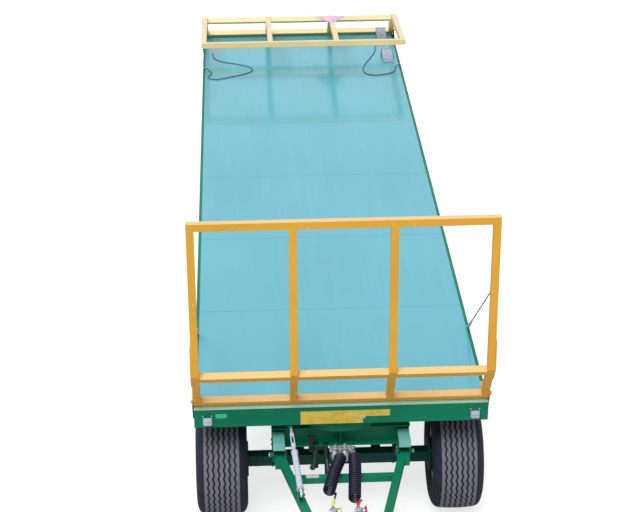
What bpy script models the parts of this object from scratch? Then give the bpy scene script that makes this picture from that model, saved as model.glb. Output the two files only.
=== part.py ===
"""A hay wagon: a two-axle bale trailer with a flat steel platform, a turntable front bogie and end frames.

Metres. X across the wagon, Y along it with the drawbar towards -Y, Z up from the ground.
Places along the wagon are written as distances behind the platform's front edge, and station() turns
them into Y. The origin lies on the ground under the middle of the overall length.
"""

import math

import bmesh
import bpy
from mathutils import Matrix, Vector

# Overall sizes
DECK_LENGTH = 9.2
DECK_WIDTH = 2.42
DECK_TOP = 1.27
FIT_GAP = 0.0003

# Platform edge profiles
EDGE_HEIGHT = 0.17
EDGE_WALL = 0.006
EDGE_FLANGE = 0.06
RIM_WIDTH = 0.028
END_BEAM_DEPTH = 0.08

# Floor sheets, counted from the rear; what is left over is the front sheet
FLOOR_THICKNESS = 0.005
SHEET_LENGTH = 1.5

# Welded chassis under the floor
MAIN_BEAM_PLACE = 0.42
MAIN_BEAM_DEPTH = 0.18
MAIN_BEAM_FLANGE = 0.091
MAIN_BEAM_FLANGE_WALL = 0.009
MAIN_BEAM_WEB = 0.007
CROSS_BEARER_DEPTH = 0.1
CROSS_BEARER_WIDTH = 0.05
CROSS_BEARER_WALL = 0.006
CROSS_BEARER_SPACING = 1.0

# Wheels: a tyre of 435 mm on a 19.5 inch rim
TYRE_RADIUS = 0.4755
TYRE_WIDTH = 0.435
TREAD_HALF_WIDTH = 0.160
TYRE_SIDES = 36
RIM_SEAT_RADIUS = 0.2477
RIM_FLANGE_RISE = 0.0127
RIM_WIDTH_INSIDE = 0.333
RIM_FLANGE_WALL = 0.008
RIM_WALL = 0.007
RIM_SIDES = 20
RIM_TURN = 0.3
HALF_TRACK = 1.0
HUB_RADIUS = 0.05
SPINDLE_RADIUS = 0.03
RUNNING_GAP = 0.001
DRUM_RADIUS = 0.155
DRUM_INNER_REACH = 0.205

# Axles and leaf springs
FRONT_AXLE_PLACE = 0.49
REAR_AXLE_PLACE = 7.3
AXLE_BEAM = 0.1
AXLE_BEAM_END = 0.775
BACKING_PLATE_RADIUS = 0.15
BACKING_PLATE_WALL = 0.012
SPRING_PLACE = 0.52
SPRING_WIDTH = 0.07
SPRING_HALF_LENGTH = 0.33
SPRING_CAMBER = 0.08
SPRING_SEAT = 0.03
LEAF_THICKNESS = 0.011
LEAVES = 5
SPRING_EYE_RADIUS = 0.024
SPRING_PIN_RADIUS = 0.011

# Turntable bogie and the like frame over the rear axle
BOGIE_BOTTOM = 0.82
BOGIE_TOP = 1.0
BOGIE_RAIL_WIDTH = 0.1
BOGIE_HALF_WIDTH = 0.577
BOGIE_WEB_PLACE = 0.186
BOGIE_CHANNEL_DEPTH = 0.08
BOGIE_REAR = 0.87
BOGIE_WALL = 0.008
TRANSOM_OFFSET = 0.22
TRANSOM_WIDTH = 0.08
TRANSOM_DEPTH = 0.14
RING_OUTER = 0.45
RING_INNER = 0.36
RING_SIDES = 32
RING_PLATE = 0.02

# Drawbar
PIVOT_PLACE = 0.03
PIVOT_HEIGHT = 0.80
PIVOT_SPREAD = 0.52
PIVOT_PIN_RADIUS = 0.018
EYE_BAR_WIDTH = 0.07
EAR_WALL = 0.010
EAR_PLAY = 0.005
LEG_SIZE = 0.062
LEG_START = -0.07
NOSE_START = -2.02
NOSE_HALF_WIDTH = 0.055
TOW_EYE_PLACE = -2.42
TOW_EYE_BORE = 0.020
TOW_EYE_OUTER = 0.055
TOW_EYE_WALL = 0.032
CROSS_BAR_PLACE = -0.355
CROSS_BAR_SIZE = 0.055
HOLDER_BAR_PLACE = -0.985

# End frames
FRAME_TUBE = 0.06
FRAME_HINGE_SETBACK = 0.05
FRAME_HINGE_RISE = 0.05
FRAME_KINK_OUT = 0.272
FRAME_KINK_RISE = 0.403
FRAME_TOP_RISE = 1.709
FRAME_FOLD = math.radians(84.5)
HINGE_PIN_RADIUS = 0.012
HINGE_EAR_WALL = 0.010
HINGE_EAR_PLAY = 0.003
STOP_REACH = 0.075
STOP_LENGTH = 0.045
STOP_WALL = 0.010
STOP_GAP = 0.0005

# Stays and ropes
LUG_WALL = 0.008
LUG_RADIUS = 0.018
LUG_HOLE = 0.010
ANCHOR_PLACE = 1.25
ANCHOR_INSET = 0.015
STAY_HEIGHT = 1.13
STAY_RADIUS = 0.006
ROPE_RADIUS = 0.006
COIL_RADIUS = 0.049
HOSE_RADIUS = 0.0065

# Lamps
LAMP_DEPTH = 0.05

# Worked out from the sizes above
FRONT_REACH = -TOW_EYE_PLACE + TOW_EYE_OUTER
FRONT_EDGE = FRONT_REACH - (FRONT_REACH + DECK_LENGTH + LAMP_DEPTH) / 2
HALF_DECK = DECK_WIDTH / 2
EDGE_BOTTOM = DECK_TOP - EDGE_HEIGHT
FLOOR_SEAT = DECK_TOP - FLOOR_THICKNESS - FIT_GAP
MAIN_BEAM_BOTTOM = FLOOR_SEAT - MAIN_BEAM_DEPTH
AXLE_HEIGHT = TYRE_RADIUS * math.cos(math.pi / TYRE_SIDES)
SPRING_BOTTOM = AXLE_HEIGHT + AXLE_BEAM / 2 + SPRING_SEAT
SPRING_EYE_HEIGHT = SPRING_BOTTOM + (LEAVES - 0.5) * LEAF_THICKNESS + SPRING_CAMBER
REAR_EDGE = DECK_LENGTH
SIDES = (("left", -1), ("right", 1))


def station(place):
    """Y of a place given as its distance behind the platform's front edge."""
    return FRONT_EDGE + place


def start_collections():
    """Empty the scene and make one collection for the wagon and one for the shapes it is joined from."""
    for thing in list(bpy.data.objects):
        bpy.data.objects.remove(thing, do_unlink=True)
    made = {}
    for name in ("Hay wagon", "Wagon shapes"):
        made[name] = bpy.data.collections.new(name)
        bpy.context.scene.collection.children.link(made[name])
    return made["Hay wagon"], made["Wagon shapes"]


WAGON, SHAPES = start_collections()


def finish_of(name, colour, roughness, metallic=0.0):
    """A Principled material."""
    material = bpy.data.materials.new(name)
    material.use_nodes = True
    shader = material.node_tree.nodes["Principled BSDF"]
    shader.inputs["Base Color"].default_value = (*colour, 1.0)
    shader.inputs["Roughness"].default_value = roughness
    shader.inputs["Metallic"].default_value = metallic
    material.diffuse_color = (*colour, 1.0)
    return material


# Each finish: colour, roughness, metallic
FINISHES = {
    "green": ((0.01, 0.19, 0.10), 0.35, 0.0),
    "deck": ((0.16, 0.52, 0.58), 0.30, 0.0),
    "yellow": ((0.80, 0.47, 0.06), 0.40, 0.0),
    "galvanised": ((0.45, 0.50, 0.55), 0.45, 0.8),
    "tyre": ((0.03, 0.03, 0.035), 0.85, 0.0),
    "rim": ((0.55, 0.57, 0.60), 0.40, 0.6),
    "black": ((0.02, 0.02, 0.025), 0.60, 0.0),
    "lamp": ((0.45, 0.60, 0.68), 0.20, 0.0),
    "red": ((0.65, 0.03, 0.04), 0.40, 0.0),
    "coupling": ((0.50, 0.51, 0.53), 0.35, 0.8),
    "sign": ((0.90, 0.35, 0.42), 0.40, 0.0),
}
MATERIALS = {name: finish_of(name, *values) for name, values in FINISHES.items()}


def shape_from(mesh):
    """An object for a mesh, kept with the shapes until it is named."""
    made = bpy.data.objects.new("shape", mesh)
    made.hide_render = True
    made.display_type = "WIRE"
    SHAPES.objects.link(made)
    return made


def mesh_of(build):
    """A mesh filled in by build, which is given an empty bmesh."""
    work = bmesh.new()
    build(work)
    bmesh.ops.recalc_face_normals(work, faces=work.faces)
    mesh = bpy.data.meshes.new("shape")
    work.to_mesh(mesh)
    work.free()
    return mesh


def solid_from_curve(curve_object, place=None):
    """The mesh of a curve with its caps welded on, moved to its place; the curve is removed."""
    raw = bpy.data.meshes.new_from_object(curve_object)
    raw.transform(place or Matrix())

    def build(work):
        work.from_mesh(raw)
        bmesh.ops.remove_doubles(work, verts=work.verts, dist=0.00001)

    made = shape_from(mesh_of(build))
    bpy.data.objects.remove(curve_object)
    return made


def block(low, high):
    """A box between two opposite corners."""
    low, high = Vector(low), Vector(high)
    size = high - low
    place = Matrix.Translation((low + high) / 2) @ Matrix.Diagonal((*size, 1.0))
    return shape_from(mesh_of(lambda work: bmesh.ops.create_cube(work, size=1.0, matrix=place)))


def direction_frame(start, end, upright=(0, 0, 1)):
    """A matrix at start whose local Y runs to end and whose local Z is as upright as it can be."""
    along = (Vector(end) - Vector(start)).normalized()
    across = along.cross(Vector(upright)).normalized()
    above = across.cross(along)
    turn = Matrix((across, along, above)).transposed().to_4x4()
    return Matrix.Translation(start) @ turn


def beam(start, end, width, height):
    """A square-ended bar between two points, upright."""
    length = (Vector(end) - Vector(start)).length
    frame = direction_frame(start, end)
    place = frame @ Matrix.Translation((0, length / 2, 0)) @ Matrix.Diagonal((width, length, height, 1.0))
    return shape_from(mesh_of(lambda work: bmesh.ops.create_cube(work, size=1.0, matrix=place)))


def rod(start, end, radius, sides=16):
    """A round bar between two points."""
    start, end = Vector(start), Vector(end)
    along = end - start
    turn = Vector((0, 0, 1)).rotation_difference(along).to_matrix().to_4x4()
    place = Matrix.Translation((start + end) / 2) @ turn

    def build(work):
        bmesh.ops.create_cone(
            work,
            cap_ends=True,
            segments=sides,
            radius1=radius,
            radius2=radius,
            depth=along.length,
            matrix=place,
        )

    return shape_from(mesh_of(build))


# Local X, Y and Z of a flat outline in the plane that its name gives
PLANES = {
    "xy": ((1, 0, 0), (0, 1, 0), (0, 0, 1)),
    "xz": ((1, 0, 0), (0, 0, 1), (0, -1, 0)),
    "yz": ((0, 1, 0), (0, 0, 1), (1, 0, 0)),
}


def round_hole(centre, radius, sides=16):
    """The points of a round hole in an outline."""
    steps = (2 * math.pi * i / sides for i in range(sides))
    return [(centre[0] + radius * math.cos(a), centre[1] + radius * math.sin(a)) for a in steps]


def plate(points, plane, low, high, holes=()):
    """A flat outline with holes, extruded from low to high across its plane."""
    curve = bpy.data.curves.new("outline", "CURVE")
    curve.dimensions = "2D"
    curve.fill_mode = "BOTH"
    curve.extrude = (high - low) / 2
    for loop in (points, *holes):
        spline = curve.splines.new("POLY")
        spline.points.add(len(loop) - 1)
        for point, (u, v) in zip(spline.points, loop):
            point.co = (u, v, 0, 1)
        spline.use_cyclic_u = True
    axes = Matrix(PLANES[plane]).transposed().to_4x4()
    middle = Vector(PLANES[plane][2]) * (low + high) / 2
    if plane == "xz":
        middle = -middle
    return solid_from_curve(bpy.data.objects.new("outline", curve), Matrix.Translation(middle) @ axes)


def pipe(points, radii, resolution=2):
    """A tube of changing radius along a run of points."""
    curve = bpy.data.curves.new("pipe", "CURVE")
    curve.dimensions = "3D"
    curve.bevel_depth = 1.0
    curve.bevel_resolution = resolution
    curve.use_fill_caps = True
    spline = curve.splines.new("POLY")
    spline.points.add(len(points) - 1)
    for point, place, radius in zip(spline.points, points, radii):
        point.co = (*place, 1)
        point.radius = radius
    return solid_from_curve(bpy.data.objects.new("pipe", curve))


def turned(profile, centre, axis, sides):
    """A profile of (radius, height) points turned about an axis; its outer side runs from top to bottom."""

    def build(work):
        corners = [work.verts.new((radius, 0, height)) for radius, height in profile]
        for first, second in zip(corners, corners[1:]):
            work.edges.new((first, second))
        if profile[0][0] > 0:
            work.edges.new((corners[-1], corners[0]))

    made = shape_from(mesh_of(build))
    turn = Vector((0, 0, 1)).rotation_difference(Vector(axis)).to_matrix().to_4x4()
    made.matrix_world = Matrix.Translation(centre) @ turn
    screw = made.modifiers.new("Turn", "SCREW")
    screw.steps = sides
    screw.render_steps = sides
    screw.use_merge_vertices = True
    screw.merge_threshold = 0.00001
    screw.use_smooth_shade = False
    return made


def ring(centre, axis, major, minor):
    """A round wire ring."""
    turn = Vector((0, 0, 1)).rotation_difference(Vector(axis)).to_euler()
    bpy.ops.mesh.primitive_torus_add(
        major_segments=12,
        minor_segments=6,
        major_radius=major,
        minor_radius=minor,
        location=centre,
        rotation=turn,
    )
    made = bpy.context.object
    for home in list(made.users_collection):
        home.objects.unlink(made)
    made.hide_render = True
    made.display_type = "WIRE"
    SHAPES.objects.link(made)
    return made


def boolean(target, others, operation, label):
    """Join other shapes to a target, or cut them from it, in one Boolean."""
    home = bpy.data.collections.new(label)
    SHAPES.children.link(home)
    for other in others:
        SHAPES.objects.unlink(other)
        home.objects.link(other)
    modifier = target.modifiers.new(label, "BOOLEAN")
    modifier.operation = operation
    modifier.operand_type = "COLLECTION"
    modifier.collection = home
    modifier.solver = "EXACT"


def name_part(made, name, finish, holder=None, origin=None):
    """Name a finished piece, give it its material and hang it on its holder with its origin in place."""
    made.name = name
    made.hide_render = False
    made.display_type = "TEXTURED"
    SHAPES.objects.unlink(made)
    WAGON.objects.link(made)
    made.data.materials.clear()
    made.data.materials.append(MATERIALS[finish])
    if origin is not None:
        shift = made.matrix_world.inverted() @ Vector(origin)
        made.data.transform(Matrix.Translation(-shift))
        made.matrix_world = made.matrix_world @ Matrix.Translation(shift)
    if holder is not None:
        made.parent = holder
        made.matrix_parent_inverse = Matrix.Translation(holder["place"]).inverted()
    return made


def part(name, finish, shapes, holder=None, origin=None, cuts=()):
    """One piece of the wagon: shapes joined into one solid, then cut."""
    base, others = shapes[0], shapes[1:]
    if others:
        boolean(base, others, "UNION", name + " joined")
    if cuts:
        boolean(base, cuts, "DIFFERENCE", name + " cut")
    return name_part(base, name, finish, holder, origin)


def joint_empty(name, place, holder=None):
    """An empty on a joint's axis, which carries the pieces that move with it."""
    made = bpy.data.objects.new(name, None)
    made.empty_display_size = 0.1
    made.location = place
    made["place"] = list(place)
    WAGON.objects.link(made)
    if holder is not None:
        made.parent = holder
        made.matrix_parent_inverse = Matrix.Translation(holder["place"]).inverted()
    return made


def mirrored(points, side):
    """Outline points whose first number runs across the wagon, on the given side."""
    return [(u * side, v) for u, v in points]


def span(side, inner, outer):
    """Low and high X of a stretch given by its distances from the middle."""
    return tuple(sorted((side * inner, side * outer)))


# Platform


def end_beam(name, face, inward):
    """A folded channel across an end of the platform, closed at its ends."""
    def at(depth):
        return station(face + inward * depth)

    profile = [
        (at(0), EDGE_BOTTOM),
        (at(0), DECK_TOP),
        (at(END_BEAM_DEPTH), DECK_TOP),
        (at(END_BEAM_DEPTH), DECK_TOP - EDGE_WALL),
        (at(EDGE_WALL), DECK_TOP - EDGE_WALL),
        (at(EDGE_WALL), EDGE_BOTTOM + EDGE_WALL),
        (at(END_BEAM_DEPTH), EDGE_BOTTOM + EDGE_WALL),
        (at(END_BEAM_DEPTH), EDGE_BOTTOM),
    ]
    shapes = [plate(profile, "yz", -HALF_DECK, HALF_DECK)]
    near, far = sorted((at(0), at(END_BEAM_DEPTH)))
    for _, side in SIDES:
        low, high = span(side, HALF_DECK - EDGE_WALL, HALF_DECK)
        shapes.append(block((low, near, EDGE_BOTTOM), (high, far, DECK_TOP)))
    part(name, "green", shapes)


def hinge_ear(side, face, outward):
    """The ear that carries an end frame's pin, with its two stops, on the end of a side rail."""
    def at(depth):
        return station(face - outward * depth)

    ear_inner = HALF_DECK + HINGE_EAR_PLAY
    ear_outer = ear_inner + HINGE_EAR_WALL
    axis = (at(FRAME_HINGE_SETBACK), DECK_TOP + FRAME_HINGE_RISE)
    eye_radius = 0.034
    foot = ((0.10, EDGE_BOTTOM + 0.03), (0.25, EDGE_BOTTOM + 0.03), (0.25, DECK_TOP - 0.03))
    arc = [math.radians(a) for a in range(60, 241, 20)]
    # The arc runs from the eye's upper side, round its outer end, to its lower side
    eye = [(axis[0] - outward * eye_radius * math.cos(a), axis[1] + eye_radius * math.sin(a)) for a in arc]
    outline = [(at(depth), height) for depth, height in foot] + eye
    low, high = span(side, ear_inner, ear_outer)
    shapes = [plate(outline, "yz", low, high)]
    pad_near, pad_far = sorted((at(0.11), at(0.24)))
    low, high = span(side, HALF_DECK - EDGE_WALL / 2, ear_inner + 0.001)
    shapes.append(block((low, pad_near, EDGE_BOTTOM + 0.04), (high, pad_far, DECK_TOP - 0.04)))
    lower_lean = math.atan2(FRAME_KINK_OUT, FRAME_KINK_RISE)
    clear = FRAME_TUBE / 2 + STOP_GAP
    for lean, rub_side in ((lower_lean, 1), (lower_lean - FRAME_FOLD, -1)):
        # The post leans outwards by lean; the stop lies flat against its outer or inner face
        post = Vector((0, outward * math.sin(lean), math.cos(lean)))
        beside = Vector((0, outward * math.cos(lean), -math.sin(lean))) * rub_side
        root = Vector((0, *axis)) + beside * (clear + STOP_WALL / 2)
        low, high = span(side, HALF_DECK - FRAME_TUBE + 0.005, ear_inner + 0.001)
        start = root + post * STOP_REACH
        end = root + post * (STOP_REACH + STOP_LENGTH)
        middle_x = (low + high) / 2
        start.x = middle_x
        end.x = middle_x
        frame = Matrix.Translation((start + end) / 2) @ Matrix(
            (Vector((1, 0, 0)), post, Vector((1, 0, 0)).cross(post))
        ).transposed().to_4x4()
        size = Matrix.Diagonal((high - low, STOP_LENGTH, STOP_WALL, 1.0))
        cube = mesh_of(lambda work: bmesh.ops.create_cube(work, size=1.0, matrix=frame @ size))
        shapes.append(shape_from(cube))
        # A web ties the stop to the eye, outside the post
        web_low, web_high = span(side, ear_inner + FIT_GAP, ear_outer - FIT_GAP)
        edge = beside * STOP_WALL * 0.35
        corners = (start + edge, end + edge - post * 0.002, end - edge - post * 0.002)
        web = [axis] + [(corner.y, corner.z) for corner in corners]
        shapes.append(plate(web, "yz", web_low, web_high))
    bore = rod(
        (side * (ear_inner - 0.002), *axis),
        (side * (ear_outer + 0.002), *axis),
        HINGE_PIN_RADIUS + RUNNING_GAP,
    )
    return shapes, bore


def rope_lug(side, place):
    """A drilled lug standing on a side rail's rim."""
    centre = (station(place), DECK_TOP + LUG_RADIUS + 0.004)
    steps = [math.radians(a) for a in range(0, 181, 30)]
    outline = [(centre[0] + LUG_RADIUS * math.cos(a), centre[1] + LUG_RADIUS * math.sin(a)) for a in steps]
    foot = LUG_RADIUS + 0.008
    outline += [(centre[0] - foot, DECK_TOP - 0.004), (centre[0] + foot, DECK_TOP - 0.004)]
    low, high = span(side, HALF_DECK - ANCHOR_INSET - LUG_WALL / 2, HALF_DECK - ANCHOR_INSET + LUG_WALL / 2)
    return plate(outline, "yz", low, high, [round_hole(centre, LUG_HOLE, 12)])


def side_rails():
    """The edge profile along each side, with its rim, floor ledge, hinge ears and rope lugs."""
    profile = [
        (HALF_DECK, EDGE_BOTTOM),
        (HALF_DECK, DECK_TOP),
        (HALF_DECK - RIM_WIDTH, DECK_TOP),
        (HALF_DECK - RIM_WIDTH, FLOOR_SEAT),
        (HALF_DECK - EDGE_FLANGE, FLOOR_SEAT),
        (HALF_DECK - EDGE_FLANGE, FLOOR_SEAT - EDGE_WALL),
        (HALF_DECK - EDGE_WALL, FLOOR_SEAT - EDGE_WALL),
        (HALF_DECK - EDGE_WALL, EDGE_BOTTOM + EDGE_WALL),
        (HALF_DECK - EDGE_FLANGE, EDGE_BOTTOM + EDGE_WALL),
        (HALF_DECK - EDGE_FLANGE, EDGE_BOTTOM),
    ]
    start = station(END_BEAM_DEPTH + FIT_GAP)
    end = station(DECK_LENGTH - END_BEAM_DEPTH - FIT_GAP)
    for word, side in SIDES:
        shapes = [plate(mirrored(profile, side), "xz", start, end)]
        bores = []
        for face, outward in ((0, -1), (REAR_EDGE, 1)):
            ear, bore = hinge_ear(side, face, outward)
            shapes += ear
            bores.append(bore)
        shapes.append(rope_lug(side, ANCHOR_PLACE))
        shapes.append(rope_lug(side, DECK_LENGTH - ANCHOR_PLACE))
        part("side_rail_" + word, "green", shapes, cuts=bores)


def floor_sheets():
    """Flat sheets of one length laid from the rear, and a longer one at the front."""
    rear = DECK_LENGTH - END_BEAM_DEPTH - FIT_GAP
    front = END_BEAM_DEPTH + FIT_GAP
    half = HALF_DECK - RIM_WIDTH - FIT_GAP
    count = int((rear - front) / SHEET_LENGTH)
    ends = [DECK_LENGTH - SHEET_LENGTH * i for i in range(count)]
    ends[0] = rear
    for number, far in enumerate(ends, 1):
        near = front if number == count else DECK_LENGTH - SHEET_LENGTH * number + FIT_GAP
        low = (-half, station(near), DECK_TOP - FLOOR_THICKNESS)
        high = (half, station(far), DECK_TOP)
        part("floor_sheet_%d" % number, "deck", [block(low, high)])


def chassis_frame():
    """Two main beams with channel bearers welded across through them."""
    half_flange = MAIN_BEAM_FLANGE / 2
    half_web = MAIN_BEAM_WEB / 2
    top, bottom = FLOOR_SEAT, MAIN_BEAM_BOTTOM
    wall = MAIN_BEAM_FLANGE_WALL
    quarter = [
        (half_flange, top),
        (half_flange, top - wall),
        (half_web, top - wall),
        (half_web, bottom + wall),
        (half_flange, bottom + wall),
        (half_flange, bottom),
    ]
    section = quarter + [(-u, v) for u, v in reversed(quarter)]
    start = END_BEAM_DEPTH + FIT_GAP
    end = DECK_LENGTH - END_BEAM_DEPTH - FIT_GAP
    shapes = []
    for _, side in SIDES:
        moved = [(u + side * MAIN_BEAM_PLACE, v) for u, v in section]
        shapes.append(plate(moved, "xz", station(start), station(end)))
    reach = HALF_DECK - EDGE_FLANGE - FIT_GAP
    low, wall = top - CROSS_BEARER_DEPTH, CROSS_BEARER_WALL
    for number in range(1, int(DECK_LENGTH / CROSS_BEARER_SPACING) + 1):
        place = DECK_LENGTH - number * CROSS_BEARER_SPACING
        near = station(place - CROSS_BEARER_WIDTH / 2)
        far = station(place + CROSS_BEARER_WIDTH / 2)
        channel = [
            (near, low),
            (near, top),
            (far, top),
            (far, top - wall),
            (near + wall, top - wall),
            (near + wall, low + wall),
            (far, low + wall),
            (far, low),
        ]
        shapes.append(plate(channel, "yz", -reach, reach))
    part("chassis_frame", "green", shapes)


# End frames


def band(points, width):
    """The outline of a bar of even width along a bent line, mitred at its bends."""
    left, right = [], []
    for i, (u, v) in enumerate(points):
        before = Vector(points[max(i - 1, 0)])
        after = Vector(points[min(i + 1, len(points) - 1)])
        here = Vector((u, v))
        first = (here - before).normalized() if i > 0 else (after - here).normalized()
        second = (after - here).normalized() if i < len(points) - 1 else first
        first_normal = Vector((-first.y, first.x))
        second_normal = Vector((-second.y, second.x))
        mitre = (first_normal + second_normal).normalized()
        reach = width / 2 / mitre.dot(first_normal)
        left.append(tuple(here + mitre * reach))
        right.append(tuple(here - mitre * reach))
    return left + right[::-1]


def end_frame_shapes(hinge_y, outward, stay_lugs):
    """An end frame stood upright: four kinked posts, three rails, corner plates and hinge pins."""
    hinge_z = DECK_TOP + FRAME_HINGE_RISE

    def place(out, rise):
        return (hinge_y + outward * out, hinge_z + rise)

    def tilted_rail(out, rise, lean, half_length):
        start = Vector((-half_length, *place(out, rise)))
        frame = Matrix.Translation((0, start.y, start.z)) @ Matrix.Rotation(-outward * lean, 4, "X")
        size = Matrix.Diagonal((2 * half_length, FRAME_TUBE, FRAME_TUBE, 1.0))
        return shape_from(mesh_of(lambda work: bmesh.ops.create_cube(work, size=1.0, matrix=frame @ size)))

    lean = math.atan2(FRAME_KINK_OUT, FRAME_KINK_RISE)
    half_tube = FRAME_TUBE / 2
    post_path = [
        place(-half_tube * math.sin(lean), -half_tube * math.cos(lean)),
        place(FRAME_KINK_OUT, FRAME_KINK_RISE),
        place(FRAME_KINK_OUT, FRAME_TOP_RISE),
    ]
    post = band(post_path, FRAME_TUBE)
    middle = HALF_DECK - half_tube
    shapes = [tilted_rail(FRAME_KINK_OUT, FRAME_TOP_RISE, 0, HALF_DECK)]
    for place_x in (-middle, -middle / 3, middle / 3, middle):
        shapes.append(plate(post, "yz", place_x - half_tube, place_x + half_tube))
    below_kink = FRAME_TUBE * 0.8
    inner_reach = HALF_DECK - half_tube
    shapes.append(tilted_rail(0, 0, lean, inner_reach))
    shapes.append(
        tilted_rail(
            FRAME_KINK_OUT - below_kink * math.sin(lean),
            FRAME_KINK_RISE - below_kink * math.cos(lean),
            lean,
            inner_reach,
        )
    )
    gusset_path = [place(0.18, 0.267), place(FRAME_KINK_OUT, FRAME_KINK_RISE), place(FRAME_KINK_OUT, 0.66)]
    gusset = band(gusset_path, 0.05)
    for _, side in SIDES:
        low, high = span(side, HALF_DECK - 0.002, HALF_DECK + 0.008)
        shapes.append(plate(gusset, "yz", low, high))
        pin_end = HALF_DECK + HINGE_EAR_PLAY + HINGE_EAR_WALL + 0.006
        shapes.append(
            rod(
                (side * (HALF_DECK - 0.01), hinge_y, hinge_z),
                (side * pin_end, hinge_y, hinge_z),
                HINGE_PIN_RADIUS,
            )
        )
        if stay_lugs:
            shapes.append(stay_lug(side, place(FRAME_KINK_OUT, 0)[0], outward))
    return shapes


def stay_lug(side, post_y, outward):
    """A drilled lug on the inner face of an outer post, for the stay's ring."""
    face = post_y - outward * FRAME_TUBE / 2
    centre = (face - outward * LUG_RADIUS, DECK_TOP + STAY_HEIGHT)
    outline = [(face + outward * 0.004, centre[1] - LUG_RADIUS - 0.006)]
    outline.append((face + outward * 0.004, centre[1] + LUG_RADIUS + 0.006))
    steps = [math.radians(a) for a in range(90, 271, 30)]
    reach = outward * LUG_RADIUS
    outline += [(centre[0] + reach * math.cos(a), centre[1] + LUG_RADIUS * math.sin(a)) for a in steps]
    low, high = span(side, HALF_DECK - 0.04 - LUG_WALL / 2, HALF_DECK - 0.04 + LUG_WALL / 2)
    return plate(outline, "yz", low, high, [round_hole(centre, LUG_HOLE, 12)])


def front_frame():
    """The front end frame, pinned upright."""
    shapes = end_frame_shapes(station(FRAME_HINGE_SETBACK), -1, True)
    part("front_frame", "yellow", shapes)


def rear_frame():
    """The rear end frame, folded forward over the platform about its bottom rail."""
    hinge = (0, station(DECK_LENGTH - FRAME_HINGE_SETBACK), DECK_TOP + FRAME_HINGE_RISE)
    to_hinge = Matrix.Translation(hinge)
    fold = to_hinge @ Matrix.Rotation(FRAME_FOLD, 4, "X") @ to_hinge.inverted()
    holder = joint_empty("rear_frame_hinge", hinge)
    shapes = end_frame_shapes(hinge[1], 1, True)
    face_y = hinge[1] + FRAME_KINK_OUT + FRAME_TUBE / 2 + FIT_GAP
    base_z = hinge[2] + FRAME_KINK_RISE + 0.06
    middle_x = (HALF_DECK - FRAME_TUBE / 2) / 3 - 0.012
    sign_outline = [
        (middle_x - 0.155, base_z),
        (middle_x + 0.155, base_z),
        (middle_x + 0.182, base_z + 0.045),
        (middle_x + 0.035, base_z + 0.32),
        (middle_x - 0.035, base_z + 0.32),
        (middle_x - 0.182, base_z + 0.045),
    ]
    sign = plate(sign_outline, "xz", face_y, face_y + 0.003)
    for shape in (*shapes, sign):
        shape.data.transform(fold)
    part("rear_frame", "yellow", shapes, holder, hinge)
    part("warning_triangle", "sign", [sign], holder, hinge)


def front_stays():
    """A stay with a ring at its top, a turnbuckle and a ring at its foot, on each side."""
    for word, side in SIDES:
        post_y = station(FRAME_HINGE_SETBACK - FRAME_KINK_OUT)
        lug_y = post_y + FRAME_TUBE / 2 + LUG_RADIUS
        top = Vector((side * (HALF_DECK - 0.04), lug_y, DECK_TOP + STAY_HEIGHT))
        anchor_z = DECK_TOP + LUG_RADIUS + 0.004
        foot = Vector((side * (HALF_DECK - ANCHOR_INSET), station(ANCHOR_PLACE), anchor_z))
        along = (foot - top).normalized()
        normal = along.cross(Vector((1, 0, 0))).normalized()
        major, minor = 0.017, 0.004
        shapes = [
            rod(top + along * major * 2, foot - along * major * 2, STAY_RADIUS, 8),
            ring(top + along * major, normal, major, minor),
            ring(foot - along * major, normal, major, minor),
            rod(foot - along * 0.20, foot - along * 0.06, 0.011, 12),
        ]
        part("front_stay_" + word, "galvanised", shapes)


# Wheels, axles and springs


def tyre_profile():
    """Half of the tyre's section from its bead round to its crown, mirrored to the other side."""
    bore = (RIM_SEAT_RADIUS + FIT_GAP) / math.cos(math.pi / TYRE_SIDES)
    bead = RIM_WIDTH_INSIDE / 2 - 0.006
    widest = TYRE_WIDTH / 2
    tread = TREAD_HALF_WIDTH
    half = [
        (TYRE_RADIUS - 0.0025, tread * 0.55),
        (TYRE_RADIUS - 0.010, tread),
        (TYRE_RADIUS - 0.035, tread + 0.040),
        (TYRE_RADIUS - 0.118, widest),
        (RIM_SEAT_RADIUS + 0.056, widest - 0.016),
        (RIM_SEAT_RADIUS + 0.020, bead + 0.002),
        (bore, bead),
    ]
    # From the upper bead down the outer side to the lower bead
    upper = half[::-1]
    return upper + [(TYRE_RADIUS, 0.0)] + [(radius, -offset) for radius, offset in half]


def rim_profile():
    """The wheel: rim, disc, hub, drum and the bore over the axle's spindle. Height is towards the outside."""
    seat = RIM_SEAT_RADIUS
    tip = seat + RIM_FLANGE_RISE
    inside = RIM_WIDTH_INSIDE / 2
    edge = inside + RIM_FLANGE_WALL
    well = seat - 0.030
    disc_face = 0.032
    disc_back = 0.018
    bore = SPINDLE_RADIUS + RUNNING_GAP
    return [
        (0.0, 0.082),
        (HUB_RADIUS, 0.070),
        (HUB_RADIUS, disc_face),
        (well - RIM_WALL, disc_face),
        (seat - RIM_WALL, 0.10),
        (seat - RIM_WALL, edge - 0.012),
        (tip, edge),
        (seat, inside - 0.003),
        (seat, 0.085),
        (well, 0.055),
        (well, -0.030),
        (seat, -0.060),
        (seat, -inside + 0.003),
        (tip, -edge),
        (seat - RIM_WALL, -0.150),
        (seat - RIM_WALL, -0.064),
        (well - RIM_WALL, -0.034),
        (well - RIM_WALL, disc_back),
        (DRUM_RADIUS, disc_back),
        (DRUM_RADIUS, -DRUM_INNER_REACH),
        (bore, -DRUM_INNER_REACH),
        (bore, 0.024),
        (0.0, 0.028),
    ]


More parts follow.
